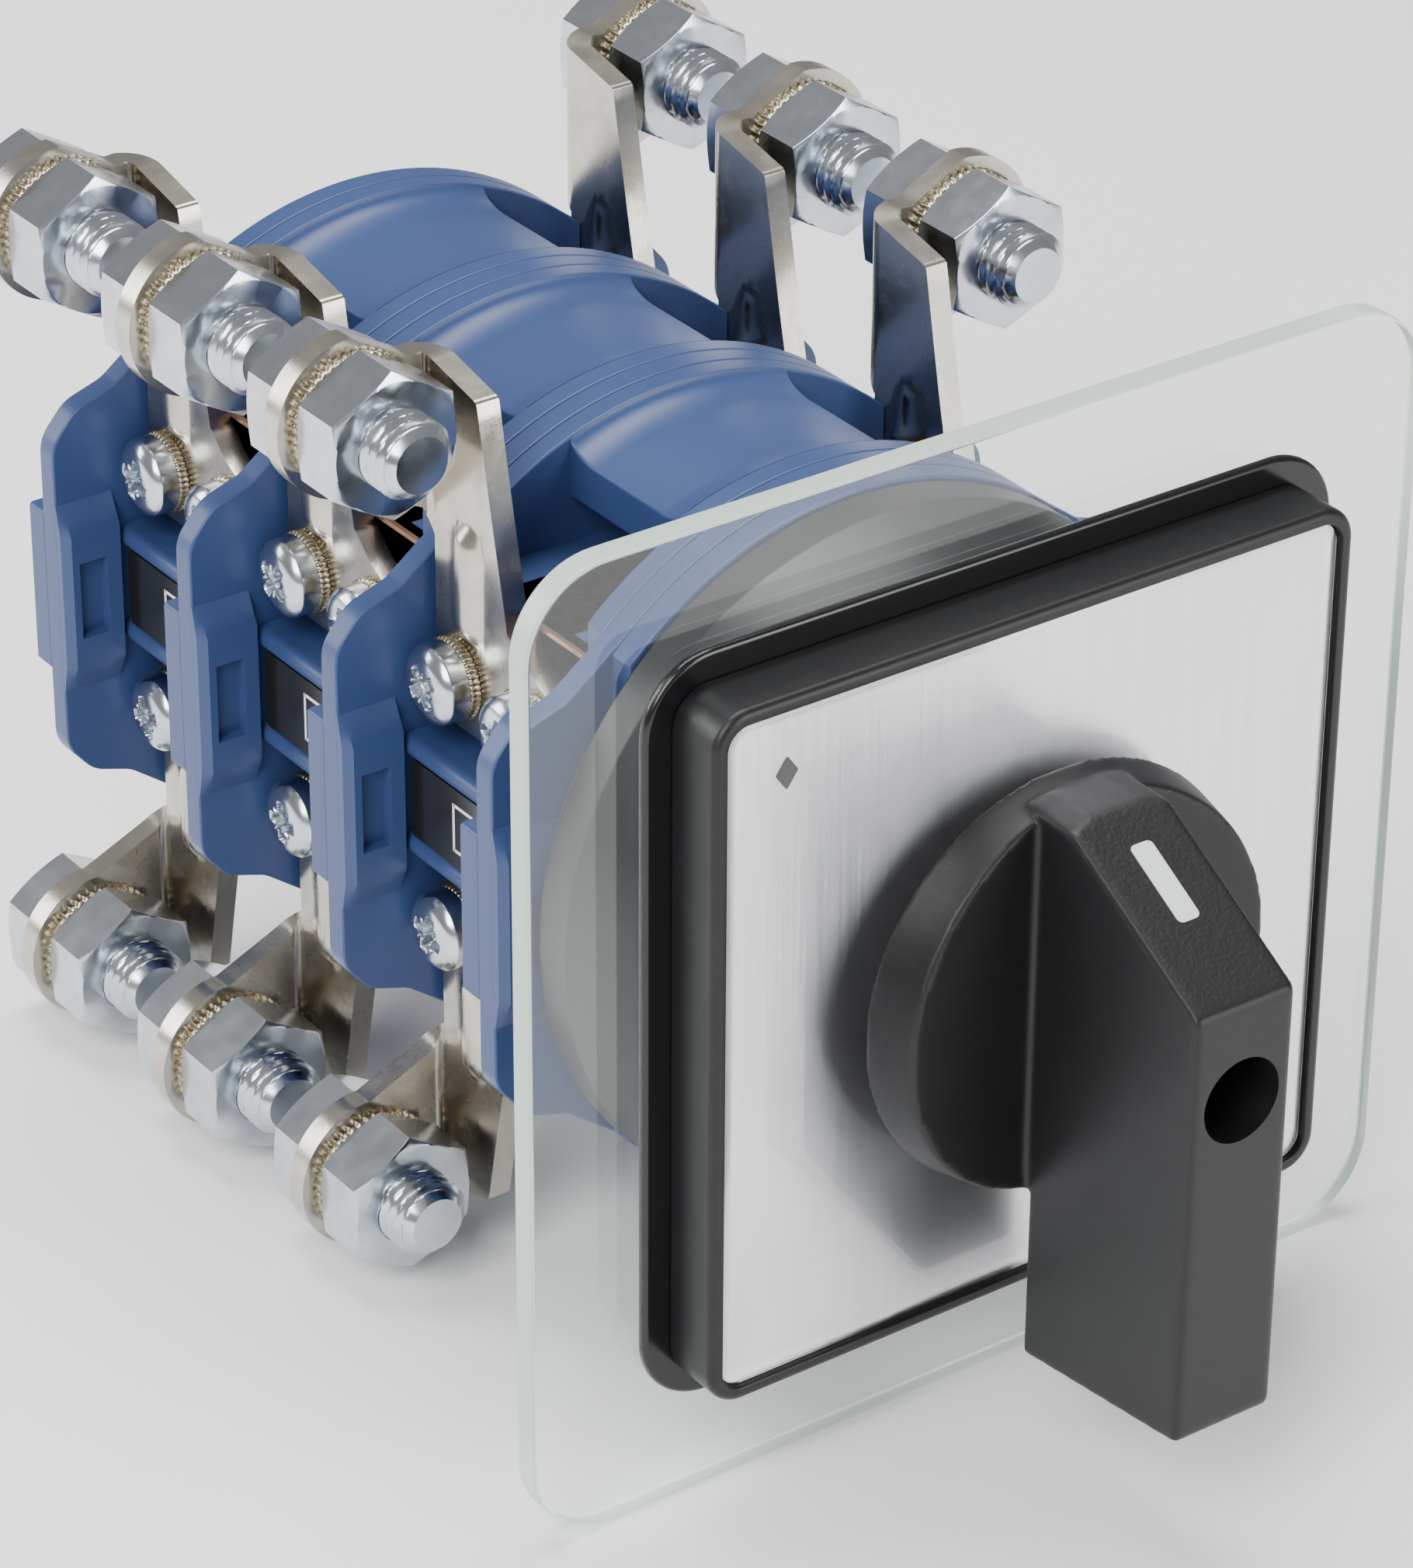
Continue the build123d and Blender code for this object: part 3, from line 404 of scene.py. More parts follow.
legend_low, legend_high = span("legend_plate")
legend_half = legend_high[0]
legend_corner = 2.7
legend_bore = 13.0
legend_outline = dense(rounded(square(legend_half), legend_corner, 10))
legend_metal = brushed("brushed_aluminium", (0.78, 0.79, 0.81), 0.30)
legend = piece(
    "legend",
    [plate(legend_outline, legend_low[1], legend_high[1], 0.1, legend_bore)],
    legend_metal,
    nodes=["legend_plate"],
)
brushing = legend.data.uv_layers.new(name="brushing")
corner_vertex = np.zeros(len(legend.data.loops), np.int32)
legend.data.loops.foreach_get("vertex_index", corner_vertex)
places = np.zeros(len(legend.data.vertices) * 3, np.float32)
legend.data.vertices.foreach_get("co", places)
flat_places = places.reshape(-1, 3)[corner_vertex][:, [0, 2]] / (2 * legend_half * 0.001) + 0.5
brushing.data.foreach_set("uv", flat_places.ravel().astype(np.float32))

mark_centre = (-33.8, 34.2)
mark_outline = rounded([(1.5, 0), (0, 2.1), (-1.5, 0), (0, -2.1)], 0.25, 4) + np.asarray(mark_centre)
print_black = moulded("legend_ink", (0.012, 0.012, 0.014), 0.5, 0.3, 0.002)
piece(
    "legend_mark",
    [plate(mark_outline, legend_low[1] - 0.06, legend_low[1] - 0.01, 0.01)],
    print_black,
)

# ---------------------------------------------------------------------------
# Clear cover
# A clear sheet over the legend plate, snapped into the escutcheon's rim. Its
# edge is cut at an angle and catches the light as a thin bright line.
# ---------------------------------------------------------------------------

lens_low, lens_high = span("clear_cover")
lens_outline = dense(rounded(square(lens_high[0]), legend_corner, 10))
lens_clear = clear_plastic("clear_cover_sheet", (0.985, 0.985, 0.99))
lens_wall = carry(lens_outline, [(1.0, lens_low[1]), (0.0, lens_low[1] + 0.55), (0.0, lens_high[1] - 0.05)])
lens_hole = carry(
    lens_outline / np.linalg.norm(lens_outline, axis=1, keepdims=True) * legend_bore,
    [(0.0, lens_low[1]), (0.0, lens_high[1] - 0.05)],
)
lens_faces = [np.stack([lens_wall[k], lens_hole[k]]) for k in (0, -1)]
piece(
    "cover_sheet",
    [[across(sheet) for sheet in [lens_wall, lens_hole] + lens_faces]],
    lens_clear,
    nodes=["clear_cover"],
)

# ---------------------------------------------------------------------------
# Handle
# One moulded piece: a tapered knob whose face falls away on both sides of a
# tall blade. The blade's nose slopes to the indicator's facet, and its screw
# is reached through a round hole. The mould is grained, so it looks satin.
# ---------------------------------------------------------------------------

handle_low, handle_high = span("handle")
knob_rear_y = -12.5
knob_radius = handle_high[0]
knob_front_radius = 24.7
blade_half = 6.8
blade_front_y = handle_low[1]
blade_end_z = handle_low[2]
facet_foot_z = 12.1
facet_head = (-22.2, 25.3)
access_radius = 5.2
access_depth = 16.0
blade_end_radius = 25.5
hub_radius = 12.5
hub_front_y = -15.5


def closed_mesh(name, solids):
    """A bare mesh object of the given solids, for a modifier to use."""
    made = piece(name, solids, bpy.data.materials.new("raw_" + name))
    made.modifiers.clear()
    return made


def disc_between(rings):
    """A turned solid from rings, each (points of one circle), with a flat cap at each end."""
    grid = np.stack([np.concatenate([r, r[:1]]) for r in rings])
    return [grid, grid[0, :-1], grid[-1, :-1]]


def knob_rings():
    """The knob: a cone of small taper. Its front face drops evenly from the blade to the rim."""
    angle = np.linspace(0, 2 * pi, 160, endpoint=False)
    rings = []
    share = np.linspace(0, 1, 14)
    for s in share:
        radius = knob_radius + (knob_front_radius - knob_radius) * s
        x, z = radius * np.cos(angle), radius * np.sin(angle)
        depth = knob_rear_y + s * (knob_face(x) - knob_rear_y)
        rings.append(np.stack([x, depth, z], 1))
    for s in np.linspace(1, 0, 26)[1:]:
        radius = knob_front_radius * s
        x, z = radius * np.cos(angle), radius * np.sin(angle)
        rings.append(np.stack([x, knob_face(x), z], 1))
    return rings


def knob_face(x):
    """Depth of the knob's front face: shallow at the blade, falling evenly to the rim."""
    return -17.6 - 0.106 * np.maximum(np.abs(x) - blade_half, 0)


blade_section = [
    (blade_front_y, facet_foot_z),
    facet_head,
    (-15.5, 25.3),
    (-15.5, -21.0),
    (-18.1, -22.0),
    (-18.1, blade_end_z),
    (blade_front_y, blade_end_z + 3.2),
]
blade_outline = dense(rounded(blade_section, [1.2, 2.0, 0, 0, 0, 0.7, 0.9], 6), 2.0)
knob = closed_mesh("knob_blank", [disc_between(knob_rings())])
blade = closed_mesh("blade_blank", [plate(blade_outline, -blade_half, blade_half, 0.5, turn=sideways)])
end_arc = ring(blade_end_radius, 128)[:65]
end_outline = np.concatenate([end_arc, [(-blade_end_radius, -60), (blade_end_radius, -60)]])
round_end = closed_mesh("blade_round", [plate(end_outline, -60, -5, 0.0)])
access_solid = plate(ring(access_radius, 64), blade_front_y - 2, blade_front_y + access_depth, 0.0)
access = closed_mesh("access_cutter", [access_solid])
hub = closed_mesh("hub_blank", [plate(ring(hub_radius, 96), hub_front_y, web_back_y, 0.3)])


def combine(target, other, operation):
    """Cuts or joins two meshes and keeps the result on the first."""
    step = target.modifiers.new(operation, "BOOLEAN")
    step.operation = operation
    step.solver = "EXACT"
    step.object = other
    settle(target)


def settle(target):
    """Works out a piece's modifiers and keeps the result as its mesh."""
    graph = bpy.context.evaluated_depsgraph_get()
    finished = bpy.data.meshes.new_from_object(target.evaluated_get(graph))
    target.modifiers.clear()
    target.data = finished


combine(blade, round_end, "INTERSECT")
combine(blade, knob, "UNION")
combine(blade, hub, "UNION")
soften = blade.modifiers.new("even_skin", "REMESH")
soften.mode = "VOXEL"
soften.voxel_size = 0.00042
soften.use_smooth_shade = True
relax = blade.modifiers.new("soft_edges", "SMOOTH")
relax.factor = 0.5
relax.iterations = 6
settle(blade)
combine(blade, access, "DIFFERENCE")
for spare in (knob, round_end, access, hub):
    bpy.data.objects.remove(spare)
handle_black = moulded("handle_plastic", (0.006, 0.006, 0.007), 0.43, 0.30, 0.020, speckle=0.06, shine=0.35)
facet_black = moulded("handle_grain", (0.005, 0.005, 0.006), 0.50, 0.55, 0.090, speckle=0.10, shine=0.40)
blade.name = "turn_handle"
blade.data.name = "turn_handle"
blade.data.materials.clear()
blade.data.materials.append(handle_black)
blade.data.materials.append(facet_black)
blade.data.shade_smooth()
blade.data.set_sharp_from_angle(angle=radians(50))
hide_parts("handle")
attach(blade, "rotor")

# ---------------------------------------------------------------------------
# Indicator
# A pale inlay moulded into the handle's facet, flush with it, that shows which
# way the switch points.
# ---------------------------------------------------------------------------

facet_run = np.array([facet_head[0] - blade_front_y, facet_head[1] - facet_foot_z])
facet_run /= np.linalg.norm(facet_run)
facet_out = np.array([-facet_run[1], facet_run[0]])
facing = np.zeros(len(blade.data.polygons) * 3, np.float32)
blade.data.polygons.foreach_get("normal", facing)
slant = facing[1::3] * facet_out[0] + facing[2::3] * facet_out[1]
blade.data.polygons.foreach_set("material_index", (np.abs(slant) > 0.985).astype(np.int32))
inlay_low, inlay_high = span("handle_indicator")
inlay_centre = np.array([(inlay_low[1] + inlay_high[1]) / 2, (inlay_low[2] + inlay_high[2]) / 2])
inlay_half = (5.2, 1.5)


def on_facet(grid):
    """Turns (along the facet, across it, out of it) points into (x, y, z)."""
    along, wide, out = grid[..., 0], grid[..., 1], grid[..., 2]
    y = inlay_centre[0] + along * facet_run[0] + out * facet_out[0]
    z = inlay_centre[1] + along * facet_run[1] + out * facet_out[1]
    return np.stack([wide, y, z], -1)


indicator_pale = moulded("indicator_inlay", (0.62, 0.66, 0.68), 0.38, 0.4, 0.006)
piece(
    "pointer_inlay",
    [plate(rounded(square(*inlay_half), 0.7, 6), -0.4, 0.34, 0.12, turn=on_facet)],
    indicator_pale,
    body="rotor",
    nodes=["handle_indicator"],
)

# ---------------------------------------------------------------------------
# Latch housing
# The dark round housing of the click mechanism, turned smooth on the outside:
# a cone behind the panel that runs into a short straight rim.
# ---------------------------------------------------------------------------


def turned(section, steps=160):
    """A section of (radius, y) points spun round the shaft's axis."""
    section = np.asarray(section, float)
    angle = np.linspace(0, 2 * pi, steps + 1)
    radius = section[:, 0, None]
    x, z = radius * np.cos(angle), radius * np.sin(angle)
    return np.stack([x, np.broadcast_to(section[:, 1, None], x.shape), z], -1)


latch_low, latch_high = span("latch_housing")
latch_y0, latch_y1 = latch_low[1], latch_high[1]
latch_radius = 43.65
latch_front_radius = 40.0
latch_inner_radius = 34.0
latch_bore = 10.3
latch_floor_y = latch_y0 + 6.0
latch_section = rounded(
    [
        (latch_bore, latch_y0),
        (latch_front_radius, latch_y0),
        (latch_radius, latch_y1 - 5.5),
        (latch_radius, latch_y1),
        (latch_inner_radius, latch_y1),
        (latch_inner_radius, latch_floor_y),
        (latch_bore, latch_floor_y),
    ],
    [0.2, 1.0, 2.0, 0.7, 0.3, 1.0, 0.2],
    6,
)
latch_grey = moulded("latch_plastic", (0.020, 0.021, 0.023), 0.36, 0.6, 0.008, shine=0.45)
piece(
    "latch_shell",
    [[turned(np.concatenate([latch_section, latch_section[:1]]))]],
    latch_grey,
    nodes=["latch_housing"],
)

# ---------------------------------------------------------------------------
# Front flange and partition plates
# Blue thermoset discs between the stages. Each partition plate carries a
# barrier on both sides that keeps the terminals apart.
# ---------------------------------------------------------------------------

body_radius = span("front_flange")[1][2]
stage_blue = moulded("blue_thermoset", (0.030, 0.056, 0.158), 0.37, 0.5, 0.007, speckle=0.08, shine=0.45)


def cut_disc(half_width, radius=body_radius):
    """Outline of a disc cut straight at the sides: two arcs and two chords."""
    reach = np.arcsin(half_width / radius)
    angle = np.linspace(-reach, reach, 41)
    top = np.stack([radius * np.sin(angle), radius * np.cos(angle)], 1)
    return dense(np.concatenate([top, -top]), 3.0)


flange_low, flange_high = span("front_flange")
flange_half_width = 31.0
plate_bore = 12.2
plate_thickness = 3.2
piece(
    "flange",
    [plate(cut_disc(flange_half_width), flange_low[1], flange_high[1], 0.35, plate_bore)],
    stage_blue,
    nodes=["front_flange"],
)

barrier = [(29.44, 32.70), (37.2, 26.9), (42.5, 25.2), (46.1, 21.0)]
barrier_reach = span("partition_plate_1")[1][0]
block_inner_x = 38.2
pocket_x = 42.1


def barrier_plate_outline():
    """The disc's two arcs joined to the barriers, whose corners are rounded."""
    angle = np.linspace(-radians(41), radians(41), 45)
    top = np.stack([body_radius * np.sin(angle), body_radius * np.cos(angle)], 1)
    right = [(x, z) for x, z in barrier] + [(x, -z) for x, z in reversed(barrier)]
    left = [(-x, -z) for x, z in right]
    corners = np.concatenate([top, right, -top, left])
    bends = [0, 5, 5, 5, 5, 5, 5, 0]
    radii = [0] * len(top) + bends + [0] * len(top) + bends
    return dense(rounded(corners, radii, 8), 3.0)


def rims(first, second):
    """The four strips that join the edges of two grids."""
    ends = [np.stack([first[k], second[k]]) for k in (0, -1)]
    return ends + [np.stack([first[:, k], second[:, k]]) for k in (0, -1)]


def between(xs, zs, front, back):
    """A solid from a front surface to a flat back, over a grid of x and z: front gives the front's y."""
    x, z = np.meshgrid(xs, zs, indexing="ij")
    face = np.stack([x, front(x, z), z], -1)
    rear = np.stack([x, np.full_like(x, back), z], -1)
    return [face, rear] + rims(face, rear)


def barrier_block(side, y):
    """Thick middle of a barrier: a raised face with sloped ends, a bevelled outer edge and a sunk pocket."""

    def front(x, z):
        reach = np.abs(x)
        raised = 1.8 * np.clip((13.0 - np.abs(z)) / 4.0, 0, 1)
        bevel = np.clip((barrier_reach - reach) / 1.0, 0, 1)
        across_pocket = np.clip((2.0 - np.abs(reach - pocket_x)) / 0.15, 0, 1)
        sunk = 1.5 * across_pocket * np.clip((5.2 - np.abs(z)) / 0.15, 0, 1)
        return y - 0.02 - (raised * (0.45 + 0.55 * bevel) - sunk)

    pocket_xs = [40.1, 40.25, pocket_x, 43.95, 44.1, 45.1]
    xs = np.array([block_inner_x, block_inner_x + 0.3, *pocket_xs, barrier_reach - 0.02]) * side
    zs = np.array([-13.0, -11.0, -9.0, -5.2, -5.05, 0, 5.05, 5.2, 9.0, 11.0, 13.0])
    return between(xs, zs, front, y + 0.4)


for k in range(1, 5):
    low, high = span(f"partition_plate_{k}")
    y = low[1] + 1.8
    solids = [plate(barrier_plate_outline(), y, y + plate_thickness, 0.3, plate_bore)]
    for side in (-1, 1):
        solids.append(barrier_block(side, y))
        near, far = side * block_inner_x, side * (barrier_reach - 0.02)
        wing = rounded([(near, 11), (far, 11), (far, -11), (near, -11)], 0.5, 3)
        solids.append(plate(wing, y + 3.0, high[1], 0.3))
    piece(f"partition_{k}", solids, stage_blue, nodes=[f"partition_plate_{k}"])

# ---------------------------------------------------------------------------
# Stage housings
# Blue mouldings that hold the contacts of one stage. Two lips meet the plates,
# arched covers close the contact chambers above and below, and a pair of ribs
# on each side holds the marker.
# ---------------------------------------------------------------------------

side_x = 30.0
floor_z = 27.7
lip = 3.0
cover_half = 15.5
cover_wall = 1.6
cover_inner = 40.2
skirt_z = 33.5
cove_length = 5.0
cove_depth = 2.0
bore_radius = 17.8
web_x = 35.8
rib_x = 37.5
rib_outer_z, rib_inner_z = 7.9, 5.2


def arch(outer):
    """Section of a cover at one depth: an outer arc with soft shoulders, straight skirts, an inner arc."""
    reach = np.arcsin(cover_half / outer)
    angle = np.linspace(-reach, reach, 25)
    inner_half = cover_half - cover_wall
    inner_reach = np.arcsin(inner_half / cover_inner)
    inner_angle = np.linspace(inner_reach, -inner_reach, 25)
    outside = np.stack([outer * np.sin(angle), outer * np.cos(angle)], 1)
    inside = np.stack([cover_inner * np.sin(inner_angle), cover_inner * np.cos(inner_angle)], 1)
    feet = [[(x, skirt_z)] for x in (-cover_half, cover_half, inner_half, -inner_half)]
    corners = np.concatenate([feet[0], outside, feet[1], feet[2], inside, feet[3]])
    radii = np.zeros(len(corners))
    radii[[1, len(outside)]] = 0.55
    radii[[0, len(outside) + 1]] = 0.3
    return rounded(corners, radii, 4)


def cover(y0, y1, side):
    """An arched cover from lip to lip: its outside sinks from the lips in a cove, an ellipse's quarter."""
    reach = np.sin(np.linspace(0, pi / 2, 9)) ** 2
    ends = y0 + cove_length * reach
    ys = np.concatenate([ends, [(y0 + y1) / 2], (y0 + y1 - ends)[::-1]])
    near = np.minimum(ys - y0, y1 - ys)
    sunk = cove_depth * np.sqrt(np.clip(1 - (1 - np.clip(near / cove_length, 0, 1)) ** 2, 0, 1))
    rows = []
    for y, drop in zip(ys, sunk):
        section = arch(body_radius - 0.05 - drop)
        rows.append(np.stack([section[:, 0], np.full(len(section), y), side * section[:, 1]], 1))
    grid = np.stack(rows)
    grid = np.concatenate([grid, grid[:, :1]], 1)
    return [grid, grid[0, :-1], grid[-1, :-1]]


for k in range(1, 4):
    low, high = span(f"stage_housing_{k}")
    y0, y1 = low[1], high[1]
    core_outline = dense(rounded(square(side_x, floor_z), 0.6, 3), 2.5)
    solids = [
        plate(cut_disc(side_x), y0, y0 + lip, 0.3, bore_radius),
        plate(cut_disc(side_x), y1 - lip, y1, 0.3, bore_radius),
        plate(core_outline, y0 + lip - 0.4, y1 - lip + 0.4, 0.0, bore_radius),
    ]
    for side in (-1, 1):
        solids.append(cover(y0 + lip - 0.05, y1 - lip + 0.05, side))
        upper_rib = [(side_x - 0.5, rib_outer_z), (rib_x, rib_outer_z)]
        upper_rib += [(rib_x, rib_inner_z), (web_x, rib_inner_z)]
        lower_rib = [(x, -z) for x, z in reversed(upper_rib)]
        rib_section = rounded(upper_rib + lower_rib, [0, 1.25, 1.25, 0.3, 0.3, 1.25, 1.25, 0], 5)
        rib_section = rib_section * np.array([side, 1])
        solids.append(plate(rib_section, y0 + 0.02, y1 - 0.02, 0.15))
    piece(f"stage_{k}", solids, stage_blue, nodes=[f"stage_housing_{k}"])

# ---------------------------------------------------------------------------
# Terminal lugs
# Each lug is stamped from 3 mm brass, pressed with a stiffening bead, folded
# at a right angle for the cable bolt and nickel plated.
# ---------------------------------------------------------------------------


def plated(name, colour, roughness, cloud_size, depth, dark=0.75):
    """Plated metal: clouds of tone and gloss from the plating bath, over fine pits."""
    material, shader, add, link = new_finish(name)
    place = add("ShaderNodeTexCoord")
    cloud = add("ShaderNodeTexNoise", Scale=1000 / cloud_size, Detail=5.0, Roughness=0.62)
    pits = add("ShaderNodeTexNoise", Scale=2600.0, Detail=2.0, Roughness=0.5)
    for noise in (cloud, pits):
        link(place.outputs["Object"], noise.inputs["Vector"])
    ramp = add("ShaderNodeValToRGB")
    ramp.color_ramp.elements[0].position = 0.30
    ramp.color_ramp.elements[0].color = (*[c * dark for c in colour], 1)
    ramp.color_ramp.elements[1].position = 0.66
    ramp.color_ramp.elements[1].color = (*colour, 1)
    link(cloud.outputs["Fac"], ramp.inputs["Fac"])
    link(ramp.outputs["Color"], shader.inputs["Base Color"])
    spread = {"From Min": 0.3, "From Max": 0.7, "To Min": roughness * 1.35, "To Max": roughness * 0.8}
    gloss = add("ShaderNodeMapRange", **spread)
    link(cloud.outputs["Fac"], gloss.inputs["Value"])
    link(gloss.outputs[0], shader.inputs["Roughness"])
    height = add("ShaderNodeMath", operation="MULTIPLY_ADD")
    height.inputs[1].default_value = 0.25
    link(pits.outputs["Fac"], height.inputs[0])
    link(cloud.outputs["Fac"], height.inputs[2])
    raised = add("ShaderNodeBump", Strength=1.0, Distance=depth * 0.001)
    link(height.outputs[0], raised.inputs["Height"])
    link(raised.outputs[0], shader.inputs["Normal"])
    shader.inputs["Metallic"].default_value = 1.0
    return material


lug_nickel = plated("nickel_plating", (0.57, 0.53, 0.465), 0.23, 5.0, 0.030, dark=0.80)
lug_thickness = 3.0
base_front, base_rear, base_bottom, base_top = 3.6, 27.8, 10.0, 20.5
neck = (13.0, 24.8)
end_front = (18.6, 53.2)
end_z = 56.0
step_z, fold_z, fold_y = 33.0, 36.5, 31.5
bend_radius = 1.0
tongue_centre = (43.2, 50.3)
tongue_radius = 9.8
base_round = 4.5
bead = (20.8, 29.5, 15.0, 5.4, 1.5)


def lug_limits(s, reach):
    """Lower and upper edge of the flat blank at each distance s along it, before it is folded. The first
    part is the base and strip, up to the fold; past it the blank narrows to a round end."""
    lower = base_bottom
    for past in (base_front + base_round - s, s - base_rear + base_round):
        past = np.clip(past, 0, base_round)
        lower = lower + base_round - np.sqrt(np.clip(base_round**2 - past**2, 0, None))
    lower = np.where(s > base_rear, step_z + (s - base_rear) * (fold_z - step_z) / (fold_y - base_rear), lower)
    upper = np.interp(s, [base_front, neck[0], end_front[0], fold_y], [base_top, neck[1], end_front[1], end_z])
    upper = upper + 1.6 * np.exp(-((s - neck[0]) / 2.2) ** 2)
    round_end = np.sqrt(np.clip(tongue_radius**2 - np.clip(s - reach, 0, tongue_radius) ** 2, 0, None))
    tongue = s > fold_y
    slope_low = np.interp(s, [fold_y, reach], [fold_z, tongue_centre[1] - tongue_radius])
    slope_high = np.interp(s, [fold_y, reach], [end_z - 0.8, tongue_centre[1] + tongue_radius])
    lower = np.where(tongue, np.where(s < reach, slope_low, tongue_centre[1] - round_end), lower)
    upper = np.where(tongue, np.where(s < reach, slope_high, tongue_centre[1] + round_end), upper)
    return lower, upper


def lug(start, sx, sz):
    """Folds the blank round a quarter turn: it runs back along the side, and straight out past the fold."""
    middle = bend_radius + lug_thickness / 2
    flat_end = fold_y - lug_thickness - bend_radius
    arc = middle * pi / 2
    reach = flat_end + arc + (tongue_centre[0] - side_x - lug_thickness - bend_radius)
    s = np.concatenate([
        base_front + base_round * (1 - np.cos(np.linspace(0, pi / 2, 9))),
        np.linspace(base_front + base_round, neck[0], 8)[1:],
        np.linspace(neck[0], base_rear - base_round, 27)[1:],
        (base_rear - base_round + base_round * np.sin(np.linspace(0, pi / 2, 9)))[1:],
    ])
    s = np.unique(np.round(np.concatenate([
        s,
        [base_rear + 0.001],
        flat_end + arc * np.linspace(0, 1, 9),
        np.linspace(flat_end + arc, reach, 8),
        reach + tongue_radius * np.sin(np.linspace(0, pi / 2, 18)),
    ]), 4))
    lower, upper = lug_limits(s, reach)
    v = np.linspace(0, 1, 45)
    z = lower[:, None] + (upper - lower)[:, None] * v
    along = np.broadcast_to(s[:, None], z.shape)
    turn = np.clip((along - flat_end) / arc, 0, 1) * pi / 2
    beyond = np.clip(along - flat_end - arc, 0, None)
    sheets = []
    for depth in (0.0, lug_thickness):
        radius = bend_radius + lug_thickness - depth
        x = side_x + depth + radius * (1 - np.cos(turn)) + beyond
        y = np.minimum(along, flat_end) + radius * np.sin(turn)
        by, bz, length, width, rise = bead
        off = np.clip(np.abs(z - bz) - (length - width) / 2, 0, None)
        away = np.sqrt(off**2 + (along - by) ** 2) / (width / 2)
        x = x + rise * np.clip(1 - away**2, 0, 1) ** 0.8 * (turn == 0)
        sheets.append(np.stack([sx * x, start + y, sz * z], -1))
    inner, outer = sheets
    return [inner, outer] + rims(inner, outer)


stage_fronts = [span(f"stage_housing_{k}")[0][1] for k in (1, 2, 3)]
for side_name, sx in (("left", -1), ("right", 1)):
    for level_name, sz in (("upper", 1), ("lower", -1)):
        made = piece(
            f"terminal_lugs_{side_name}_{level_name}",
            [lug(start, sx, sz) for start in stage_fronts],
            lug_nickel,
            nodes=[f"lugs_{side_name}_{level_name}"],
            crease=50,
        )
        soft = made.modifiers.new("stamped_edges", "BEVEL")
        soft.width = 0.00022
        soft.segments = 2
        soft.limit_method = "ANGLE"
        soft.angle_limit = radians(55)
        made.modifiers.move(1, 0)

# ---------------------------------------------------------------------------
# Terminal bolts and nuts
# M10 hexagon bolts through the lugs' tongues, with a nut in front. Both are
# forged steel, chamfered at the corners and bright zinc plated.
# ---------------------------------------------------------------------------

zinc = plated("zinc_plating", (0.60, 0.64, 0.69), 0.19, 3.5, 0.012, dark=0.84)
stud_x, stud_z = tongue_centre
bolt_flats = 16.0
thread_radius = 5.0
thread_pitch = 1.5
thread_depth = 0.75


def hexagon_radius(angle, flats):
    """Distance from the axis to a hexagon's side in each direction; its corners point up and down."""
    turn = (angle % (pi / 3)) - pi / 6
    return flats / 2 / np.cos(turn)


def hexagon_body(flats, y0, y1, chamfer_front=1, hole=0.0):
    """A nut or bolt head: its faces are cut by cones of 30 degrees, which leave a round flat on each end."""
    angle = np.linspace(0, 2 * pi, 97)
    rim = hexagon_radius(angle, flats)
    flat = flats / 2 * 0.99
    slope = np.tan(radians(27))
    rows = []

    def row(radius, y):
        radius, y = np.broadcast_to(radius, angle.shape), np.broadcast_to(y, angle.shape)
        rows.append(np.stack([radius * np.sin(angle), y, radius * np.cos(angle)], 1))

    row(hole, y0 + (0.6 if hole else 0))
    if hole:
        row(hole + 0.6, y0)
    row(flat, y0)
    drop = np.clip(rim - flat, 0, None) * slope
    row(rim * 0.995, y0 + drop * chamfer_front)
    row(rim, y0 + drop * chamfer_front + 0.15)
    row(rim, y1 - drop - 0.15)
    row(rim * 0.995, y1 - drop)
    row(flat, y1)
    if hole:
        row(hole + 0.6, y1)
    row(hole, y1 - (0.6 if hole else 0))
    if hole:
        rows.append(rows[0])
    return [np.stack(rows)]


def threaded_end(y_tip, y_root):
    """The free end of a bolt: a helical ridge, whose height is a wave of the turn and the distance, and a
    bevelled tip."""
    angle = np.linspace(0, 2 * pi, 49)
    y = np.linspace(y_tip + 1.0, y_root, int((y_root - y_tip) / 0.15))
    wave = np.abs((y[:, None] / thread_pitch + angle[None] / (2 * pi)) % 1 - 0.5) * 2
    radius = thread_radius - thread_depth * np.clip(wave * 1.3 - 0.12, 0, 1)
    fade = np.clip((y[:, None] - y_tip - 1.0) / 0.6, 0, 1)
    radius = (thread_radius - thread_depth) * (1 - fade) + radius * fade
    tip_radius = np.array([0.0, 2.2, 3.4, 3.75])
    tip_y = np.array([y_tip, y_tip, y_tip + 0.12, y_tip + 0.45])
    radius = np.concatenate([np.broadcast_to(tip_radius[:, None], (4, 49)), radius])
    depth = np.concatenate([tip_y, y])
    x, z = radius * np.sin(angle), radius * np.cos(angle)
    sheet = np.stack([x, np.broadcast_to(depth[:, None], x.shape), z], -1)
    return [sheet, np.stack([x[-1], np.full(49, y_root), z[-1]], -1)[:-1]]


def moved(solid, x, y, z):
    """The same solid somewhere else."""
    return [sheet + np.array([x, y, z]) for sheet in solid]


